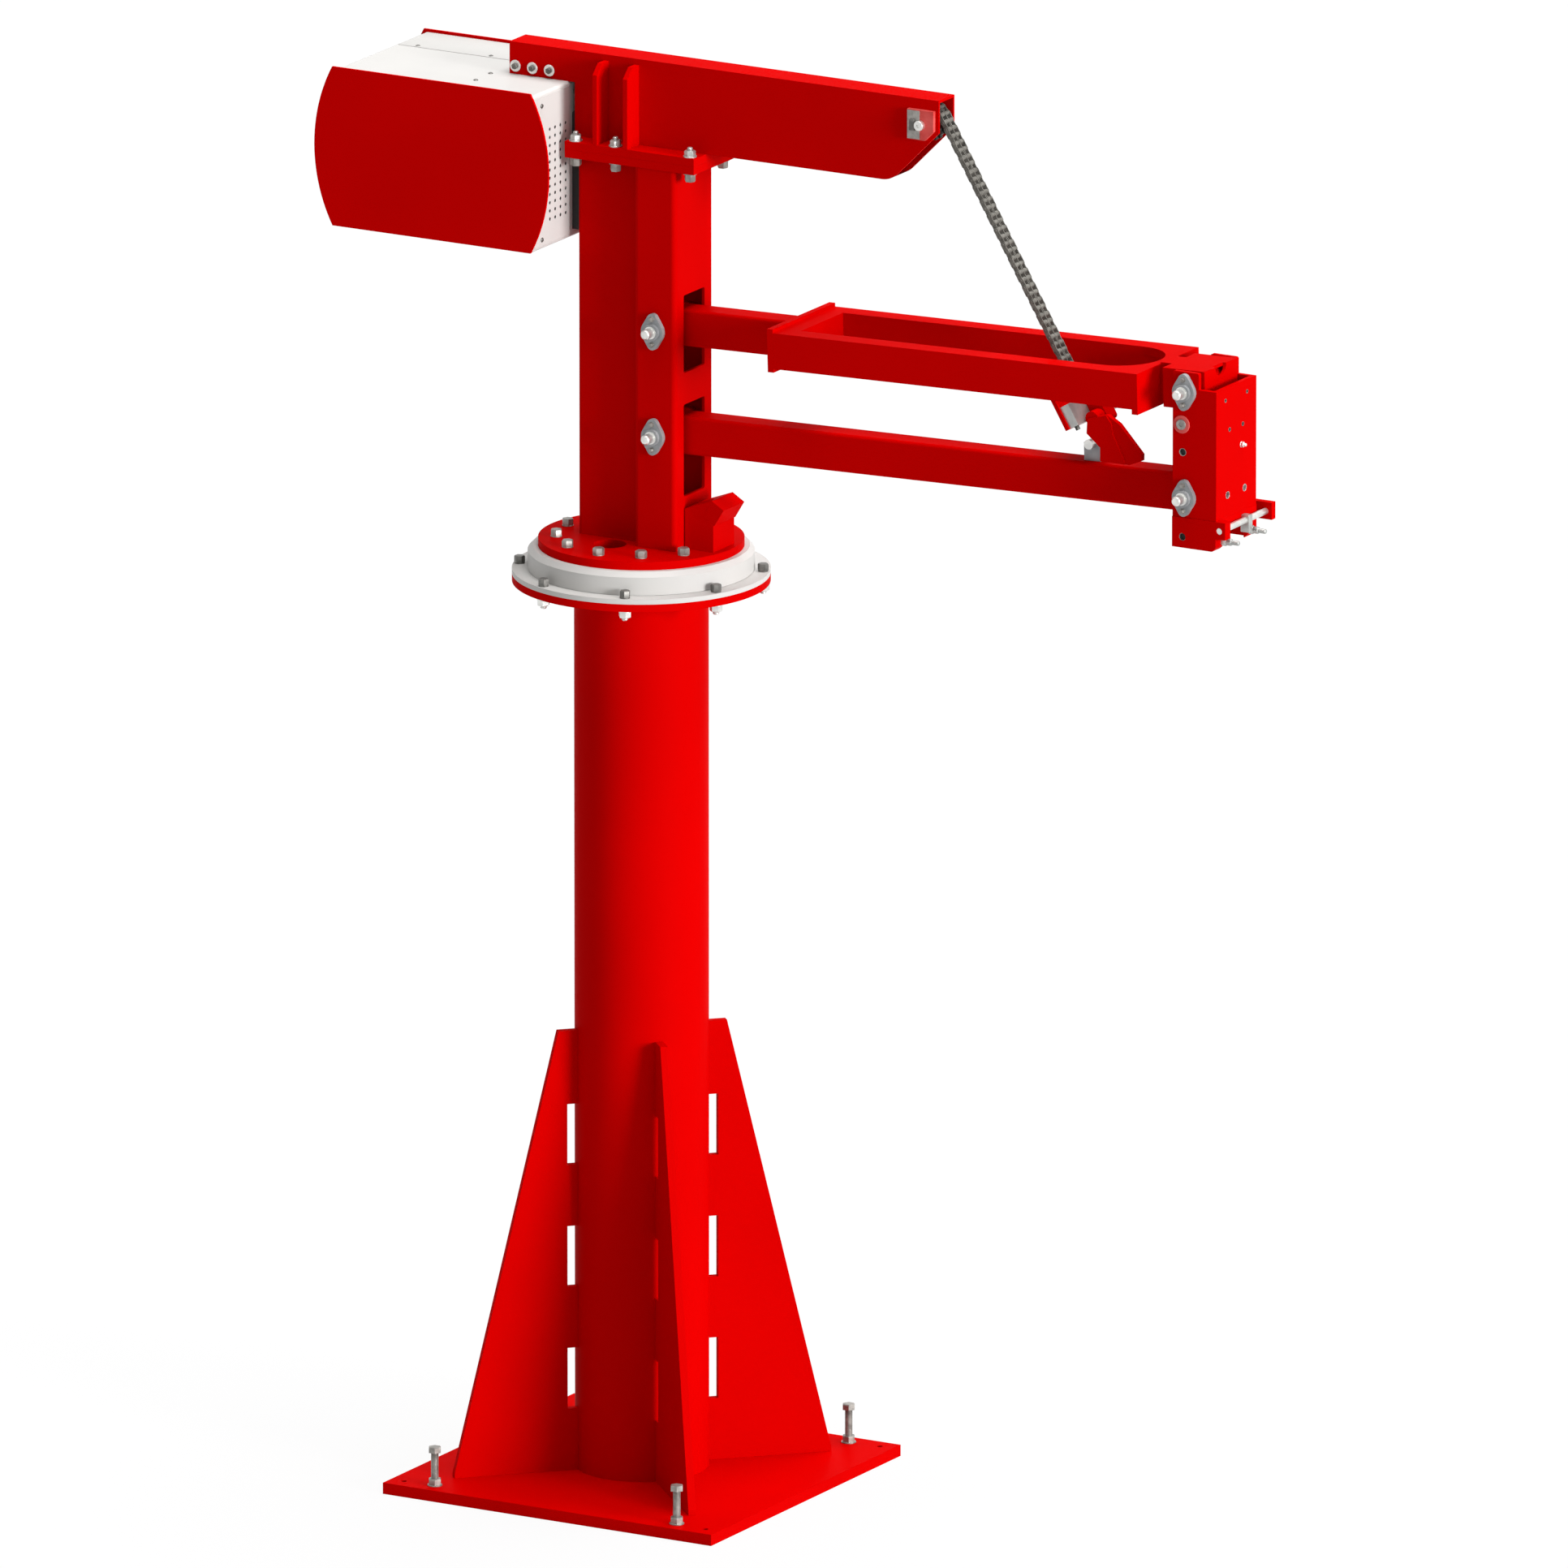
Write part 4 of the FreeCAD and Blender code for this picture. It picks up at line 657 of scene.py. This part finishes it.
def make_pivot_pins(name, node, body):
    """Pivot pins with chamfered ends and a snap ring beside each bearing."""
    low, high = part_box(node)
    outer_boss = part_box("bracket_bearings")[1].y
    stand = high.y - outer_boss
    pins = ((low.x + PIN_R, low.z + PIN_R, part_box("mast_bearings")[1].y),
            (high.x - PIN_R, high.z - PIN_R, outer_boss))
    bm = bmesh.new()
    for x, z, boss in pins:
        end = 2 * (boss + stand)
        profile = ((PIN_END_R, 0), (PIN_R, PIN_CHAMFER), (PIN_R, end - PIN_CHAMFER), (PIN_END_R, end))
        lathe(bm, facing((x, -boss - stand, z), ACROSS), profile, PIN_SIDES)
        for y in (-boss - SNAP_RING_T, boss):
            ring = ((SNAP_RING_R, 0), (SNAP_RING_R, SNAP_RING_T))
            lathe(bm, facing((x, y, z), ACROSS), ring, PLUG_SIDES)
    make_piece(name, bm, ZINC, body, (node,))


def make_vent_skin():
    """Perforated side sheet of the hoist, with a black sheet behind its holes as painted shade of the
    hoist's inside.
    """
    low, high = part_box("hoist_body")
    z0, z1 = low.z + SKIN_INSET_Z, high.z - SKIN_INSET_Z
    corners = [(SKIN_Y[0], z0), (SKIN_Y[1], z0), (SKIN_Y[1], z1), (SKIN_Y[0], z1)]
    step_y = (VENT_Y[1] - VENT_Y[0]) / (VENT_COLUMNS - 1)
    step_z = (VENT_Z[1] - VENT_Z[0]) / (VENT_ROWS - 1)
    holes = [(VENT_Y[0] + step_y * column, VENT_Z[0] + step_z * row, VENT_R)
             for column in range(VENT_COLUMNS) for row in range(VENT_ROWS)]
    for name, side in (("near", 1), ("far", -1)):
        bm = bmesh.new()
        place = Matrix(((0, 0, 1, high.x), (side, 0, 0, 0), (0, 1, 0, 0), (0, 0, 0, 1)))
        pierced_sheet(bm, place, corners, holes, SKIN_T, VENT_SIDES)
        make_piece("vent_sheet_" + name, bm, WHITE, "mast")
        # Black sheet behind the holes, painted shade rather than a part of the hoist
        vent_shade = bmesh.new()
        y0, y1 = sorted((side * (VENT_Y[0] - VENT_SHADE_MARGIN), side * (VENT_Y[1] + VENT_SHADE_MARGIN)))
        soft_box(vent_shade, (high.x - VENT_SHADE_SUNK, y0, VENT_Z[0] - VENT_SHADE_MARGIN),
                 (high.x + VENT_SHADE_STAND, y1, VENT_Z[1] + VENT_SHADE_MARGIN), VENT_SHADE_BEVEL)
        make_piece("vent_painted_shade_" + name, vent_shade, FLAT_BLACK_AND_SHADE, "mast")


def make_hoist_trim():
    """Screws and the lapped sheet joint on the hoist's housing."""
    low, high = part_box("hoist_body")
    screws = bmesh.new()
    for x, y in TOP_SCREWS:
        pan_screw(screws, (x, y, high.z), UP)
    for y, z in SIDE_SCREWS:
        for side in (-1, 1):
            pan_screw(screws, (high.x + SKIN_T, -side * y, z), FORWARD)
    make_piece("hoist_screws", screws, BLACKENED, "mast")
    lap = bmesh.new()
    soft_box(lap, (low.x + LAP_INSET_X, SEAM_Y, high.z - LAP_SUNK),
             (high.x - LAP_INSET_X, high.y - LAP_INSET_Y, high.z + LAP_STAND), LAP_BEVEL)
    make_piece("hoist_top_lap", lap, WHITE, "mast")


# Roller chain
def tangent_leave():
    """Where the chain leaves the sheave towards the clevis pin, and the angle there."""
    centre = box_centre("sheave_axle")
    end = box_centre("clevis_pin")
    radius = CHAIN_PITCH / (2 * math.sin(math.pi / SHEAVE_TEETH))
    run = end - centre
    length = math.sqrt(run.length ** 2 - radius ** 2)
    turn = math.atan2(run.z, run.x) + math.atan2(length, radius)
    return centre, end, radius, turn


def circle_point(centre, radius, angle):
    return Vector((centre.x + radius * math.cos(angle), 0, centre.z + radius * math.sin(angle)))


def link_outline():
    """Waisted outline of a chain plate about pins at 0 and one pitch."""
    mid = CHAIN_PITCH / 2
    angles = [math.radians(degrees) for degrees in PLATE_END_ANGLES]
    right = [(CHAIN_PITCH + CHAIN_PLATE_R * math.cos(angle), CHAIN_PLATE_R * math.sin(angle))
             for angle in angles]
    left = [(CHAIN_PITCH - x, -y) for x, y in right]
    return right + [(mid, CHAIN_WAIST)] + left + [(mid, -CHAIN_WAIST)]


def add_plate(bm, start, end, y0, y1):
    """One chain plate between two pins, from y0 to y1."""
    along = (end - start).normalized()
    basis = Matrix((along, ACROSS.cross(along), ACROSS)).transposed().to_4x4()
    low = y0 + PLATE_GAP
    prism(bm, Matrix.Translation(start + ACROSS * low) @ basis, link_outline(), y1 - PLATE_GAP - low)


def add_inner_link(bm, start, end):
    """In each strand, two plates with a roller between them on each pin."""
    roller = ((CHAIN_ROLLER_R, 0), (CHAIN_ROLLER_R, 2 * ROLLER_HALF_Y))
    for strand in (-STRAND_Y, STRAND_Y):
        near, far = strand - ROLLER_HALF_Y, strand + ROLLER_HALF_Y
        add_plate(bm, start, end, near - INNER_PLATE_T, near)
        add_plate(bm, start, end, far, far + INNER_PLATE_T)
        for pin in (start, end):
            lathe(bm, facing(pin + ACROSS * near, ACROSS), roller, ROLLER_SIDES)


def add_outer_link(bm, start, end, pins):
    """Outer plates, the plate between the strands, and the riveted pins."""
    for y0, y1 in ((-CHAIN_HALF_Y, -OUTER_PLATE_Y), (-MIDDLE_PLATE_T / 2, MIDDLE_PLATE_T / 2),
                   (OUTER_PLATE_Y, CHAIN_HALF_Y)):
        add_plate(bm, start, end, y0, y1)
    reach = CHAIN_HALF_Y + PIN_STAND
    tip_r, tip = RIVET_TIP * CHAIN_PIN_R, 2 * reach
    rivet = ((tip_r, 0), (CHAIN_PIN_R, RIVET_CHAMFER), (CHAIN_PIN_R, tip - RIVET_CHAMFER), (tip_r, tip))
    for pin in pins:
        lathe(bm, facing(pin - ACROSS * reach, ACROSS), rivet, RIVET_SIDES)


def make_lift_chain():
    """Free run of chain from the sheave to the clevis, riding on no body."""
    centre, end, radius, turn = tangent_leave()
    leave = circle_point(centre, radius, turn)
    count = round((end - leave).length / CHAIN_PITCH)
    step = (end - leave) / count
    bm = bmesh.new()
    for k in range(count):
        pins = (leave + step * k, leave + step * (k + 1))
        if k % 2:
            add_inner_link(bm, *pins)
        else:
            add_outer_link(bm, *pins, pins if k < count - 1 else pins[:1])
    chain = make_piece("lift_roller_chain", bm, CHAIN_STEEL, None, ("lift_chain",))
    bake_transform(chain)


def make_boom_chain():
    """Chain over the sheave and into the boom, plain where the boom hides it."""
    centre, _, radius, turn = tangent_leave()
    seat = 2 * math.pi / SHEAVE_TEETH
    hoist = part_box("hoist_body")[1]
    entry = Vector((hoist.x, 0, hoist.z - CHAIN_ENTRY_DOWN))
    run = Vector((centre.x, 0, centre.z)) - entry
    meet = math.pi + math.atan2(run.z, run.x) - math.acos(radius / run.length)
    wraps = math.ceil((meet - turn) / seat)
    pins = [circle_point(centre, radius, turn + k * seat) for k in range(wraps + 1)]
    back = (entry - pins[-1]).normalized() * CHAIN_PITCH
    pins += [pins[-1] + back * (k + 1) for k in range(BOOM_LINKS)]
    bm = bmesh.new()
    for k in range(len(pins) - 1):
        if k % 2:
            add_outer_link(bm, pins[k], pins[k + 1], pins[k:k + 2])
        else:
            add_inner_link(bm, pins[k], pins[k + 1])
    half = UP * CHAIN_PLATE_R
    corners = (pins[-1] - half, pins[-1] + half, entry + half, entry - half)
    outline = [(corner.x, corner.z) for corner in corners]
    prism(bm, upright(-CHAIN_HALF_Y, 1), outline, 2 * CHAIN_HALF_Y)
    make_piece("boom_roller_chain", bm, CHAIN_STEEL, "mast", ("boom_chain",))


def make_block_bolts():
    """Bolts in the load block's lower end."""
    centre, end, radius, turn = tangent_leave()
    along = (circle_point(centre, radius, turn) - end).normalized()
    foot = box_centre("load_block") - along * BLOCK_BOLT_DOWN
    bm = bmesh.new()
    for y in (-BLOCK_BOLT_Y, BLOCK_BOLT_Y):
        bolt(bm, foot + ACROSS * y, -along, BLOCK_BOLT, y * BLOCK_BOLT_TURN)
    make_piece("load_block_bolts", bm, DARK_STEEL, "upper_arm")


# Tool bracket
def make_side_plugs():
    """Grey plug in a pale red ring on each side of the bracket."""
    x = box_centre("bracket_bearings").x - SIDE_PLUG_BACK
    z = bracket_upper_pivot() - SIDE_PLUG_DOWN
    side_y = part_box("bracket_sides")[1].y
    rings, plugs = bmesh.new(), bmesh.new()
    for side in (-1, 1):
        place = facing((x, side * side_y, z), (0, side, 0))
        lathe(rings, place, SIDE_PLUG_RING, RING_SIDES)
        lathe(plugs, place, SIDE_PLUG, PLUG_SIDES)
    make_piece("bracket_plug_rings", rings, PALE_RED, "tool_bracket")
    make_piece("bracket_plugs", plugs, BOLT_STEEL, "tool_bracket")


def make_face_stud():
    """Small nut and stud end in the bracket's face."""
    _, height, _, washer_t = FACE_NUT
    point = Vector((bracket_face_x(), FACE_STUD_Y, bracket_upper_pivot() - FACE_STUD_DOWN))
    bm = bmesh.new()
    bolt(bm, point, FORWARD, FACE_NUT, FACE_NUT_TURN)
    stud_end(bm, facing(point + FORWARD * (washer_t + height), FORWARD), FACE_STUD_R, FACE_STUD_L)
    make_piece("bracket_bright_trim", bm, ZINC, "tool_bracket")


def make_clamp_trim():
    """Two clamp screws low on the bracket's face and the block on the fork pin."""
    face_x = bracket_face_x()
    collar_x = face_x + CLAMP_HEAD_H
    stud_x = collar_x + CLAMP_COLLAR[-1][1]
    z = collar_foot() + CLAMP_UP
    bm = bmesh.new()
    for y in (-CLAMP_Y, CLAMP_Y):
        hex_head(bm, facing((face_x, y, z), FORWARD, CLAMP_HEAD_TURN), CLAMP_FLATS, CLAMP_HEAD_H)
        lathe(bm, facing((collar_x, y, z), FORWARD), CLAMP_COLLAR, COLLAR_SIDES)
        stud_end(bm, facing((stud_x, y, z), FORWARD), CLAMP_STUD_R, CLAMP_STUD_L)
    pin = box_centre("fork_pin")
    soft_box(bm, (pin.x - FORK_BLOCK_HALF_X, FORK_BLOCK_Y[0], pin.z - FORK_BLOCK_DOWN),
             (pin.x + FORK_BLOCK_HALF_X, FORK_BLOCK_Y[1], pin.z + FORK_BLOCK_UP), FORK_BLOCK_BEVEL)
    make_piece("bracket_grey_trim", bm, MACHINED, "tool_bracket")


def line_face_holes(bm, holes):
    """Bare metal sleeves in pairs of holes in the bracket's face."""
    face_x = bracket_face_x()
    upper_z = bracket_upper_pivot()
    for y, down, radius in holes:
        for side in (-1, 1):
            place = facing((face_x + SLEEVE_STAND, side * y, upper_z - down), BACK)
            sleeve(bm, place, radius - SLEEVE_FIT, radius - FACE_SLEEVE_IN, BRACKET_WALL)


def make_bracket_holes():
    """Bare metal in the bracket's holes, and a black disc sunk in the two in its near side as painted
    shade.
    """
    bare, bright, dark = bmesh.new(), bmesh.new(), bmesh.new()
    line_face_holes(bare, BARE_HOLES)
    line_face_holes(bright, BRIGHT_HOLES)
    x = box_centre("bracket_bearings").x - SPARE_HOLE_BACK
    side_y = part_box("bracket_sides")[0].y
    shade_disc_r = SPARE_HOLE_R - SPARE_SHADE_DISC_IN
    for z in (bracket_upper_pivot() - SPARE_HOLE_DOWN, collar_foot() + COLLAR_HOLE_UP):
        point = Vector((x, side_y, z))
        sleeve(bare, facing(point, ACROSS), SPARE_HOLE_R - SLEEVE_FIT, SPARE_HOLE_R - SPARE_SLEEVE_IN,
               BRACKET_WALL)
        # Black disc inside the hole, painted shade
        lathe(dark, facing(point + ACROSS * SPARE_SHADE_DISC_DEPTH, ACROSS),
              ((shade_disc_r, 0), (shade_disc_r, SPARE_SHADE_DISC_T)), WASHER_SIDES)
    make_piece("bracket_bare_holes", bare, BOLT_STEEL, "tool_bracket")
    make_piece("bracket_bright_holes", bright, ZINC, "tool_bracket")
    make_piece("bracket_hole_painted_shade", dark, FLAT_BLACK_AND_SHADE, "tool_bracket")


def make_collar_cheeks():
    """Thin cheek on each side of the collar, standing out at its top edge and open at the holes."""
    low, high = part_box("bracket_sides")
    face_x = bracket_face_x()
    foot_z = collar_foot()
    pin = box_centre("fork_pin")
    bearing_x = box_centre("bracket_bearings").x
    top_z = foot_z + COLLAR_H
    lug_x, lug_z = face_x + LUG_REACH, top_z - LUG_DROP
    foot = [(low.x, foot_z), (face_x - CHEEK_CUT, foot_z), (face_x, foot_z + CHEEK_CUT)]
    near = foot + [(face_x, lug_z), (lug_x, lug_z), (lug_x, top_z), (low.x, top_z)]
    far = foot + [(face_x, top_z), (bearing_x, top_z), (bearing_x, lug_z), (low.x, lug_z)]
    spare = (bearing_x - SPARE_HOLE_BACK, foot_z + COLLAR_HOLE_UP, SPARE_HOLE_R)
    bm = bmesh.new()
    pierced_sheet(bm, upright(low.y, -1), near, [spare, (pin.x, pin.z, FORK_HOLE_R)], CHEEK_T, WASHER_SIDES)
    pierced_sheet(bm, upright(high.y, 1), far, [], CHEEK_T, WASHER_SIDES)
    make_piece("collar_cheeks", bm, RED, "tool_bracket")


# Stage
def seen_rays(nodes, links):
    """One where a camera, glossy or transmitted ray looks at the background, else zero."""
    path = nodes.new("ShaderNodeLightPath")
    first = nodes.new("ShaderNodeMath")
    first.operation = "MAXIMUM"
    both = nodes.new("ShaderNodeMath")
    both.operation = "MAXIMUM"
    links.new(path.outputs["Is Camera Ray"], first.inputs[0])
    links.new(path.outputs["Is Glossy Ray"], first.inputs[1])
    links.new(first.outputs[0], both.inputs[0])
    links.new(path.outputs["Is Transmission Ray"], both.inputs[1])
    return both


def make_floor():
    """Pale floor that looks almost white and keeps a share of the object's shadow."""
    bm = bmesh.new()
    bmesh.ops.create_grid(bm, x_segments=1, y_segments=1, size=FLOOR_HALF)
    mesh = bpy.data.meshes.new("floor")
    bm.to_mesh(mesh)
    bm.free()
    floor = bpy.data.objects.new("floor", mesh)
    bpy.context.scene.collection.objects.link(floor)
    material, nodes, links, shader = node_material("pale_floor")
    shader.inputs["Base Color"].default_value = (FLOOR_GREY, FLOOR_GREY, FLOOR_GREY, 1)
    shader.inputs["Roughness"].default_value = FLOOR_ROUGHNESS
    shader.inputs["Specular IOR Level"].default_value = 0.0
    glow = nodes.new("ShaderNodeEmission")
    glow.inputs["Color"].default_value = (1, 1, 1, 1)
    glow.inputs["Strength"].default_value = FLOOR_GLOW
    mix = nodes.new("ShaderNodeMixShader")
    share = nodes.new("ShaderNodeMath")
    share.operation = "MULTIPLY"
    share.inputs[1].default_value = FLOOR_GLOW_SHARE
    links.new(seen_rays(nodes, links).outputs[0], share.inputs[0])
    links.new(share.outputs[0], mix.inputs[0])
    links.new(shader.outputs[0], mix.inputs[1])
    links.new(glow.outputs[0], mix.inputs[2])
    links.new(mix.outputs[0], nodes["Material Output"].inputs["Surface"])
    mesh.materials.append(material)


def make_world():
    """Even fill light, seen as plain white."""
    world = bpy.data.worlds.new("studio")
    bpy.context.scene.world = world
    world.use_nodes = True
    nodes, links = world.node_tree.nodes, world.node_tree.links
    fill = nodes["Background"]
    fill.inputs["Color"].default_value = (1, 1, 1, 1)
    fill.inputs["Strength"].default_value = WORLD_FILL
    white = nodes.new("ShaderNodeBackground")
    white.inputs["Color"].default_value = (1, 1, 1, 1)
    mix = nodes.new("ShaderNodeMixShader")
    links.new(seen_rays(nodes, links).outputs[0], mix.inputs[0])
    links.new(fill.outputs[0], mix.inputs[1])
    links.new(white.outputs[0], mix.inputs[2])
    links.new(mix.outputs[0], nodes["World Output"].inputs["Surface"])


def make_lights():
    """A level key from beyond the arm's end and a very broad light from above."""
    for name, energy, spread, direction in LIGHTS:
        lamp = bpy.data.lights.new(name, "SUN")
        lamp.energy = energy
        lamp.angle = math.radians(spread)
        light = bpy.data.objects.new(name, lamp)
        light.matrix_world = facing(Vector(direction) * LIGHT_AWAY, direction)
        bpy.context.scene.collection.objects.link(light)


def make_camera():
    """Camera far away with a long lens, at the photograph's angle."""
    level = math.cos(VIEW_ELEVATION)
    back = Vector((math.sin(VIEW_AZIMUTH) * level, -math.cos(VIEW_AZIMUTH) * level,
                   math.sin(VIEW_ELEVATION)))
    distance = VIEW_WIDTH * LENS / SENSOR
    data = bpy.data.cameras.new("camera")
    data.lens = LENS
    data.sensor_width = SENSOR
    data.sensor_fit = "HORIZONTAL"
    data.clip_end = 3 * distance
    camera = bpy.data.objects.new("camera", data)
    camera.matrix_world = facing(VIEW_TARGET + back * distance, back)
    bpy.context.scene.collection.objects.link(camera)
    bpy.context.scene.camera = camera


bpy.context.scene.view_settings.view_transform = "Standard"
finish_nodes()
make_anchor_studs()
make_ring_bolts()
make_disc_bolts()
make_plate_bolts()
make_boom_bolts()
make_keeper_bars()
make_bearing_bolts("mast_bearing_bolts", "mast_bearings", "mast")
make_bearing_bolts("bracket_bearing_bolts", "bracket_bearings", "tool_bracket")
make_pivot_pins("upper_pivot_pins", "upper_arm_pins", "upper_arm")
make_pivot_pins("lower_pivot_pins", "lower_arm_pins", "lower_arm")
make_vent_skin()
make_hoist_trim()
make_lift_chain()
make_boom_chain()
make_block_bolts()
make_side_plugs()
make_face_stud()
make_clamp_trim()
make_bracket_holes()
make_collar_cheeks()
make_floor()
make_world()
make_lights()
make_camera()
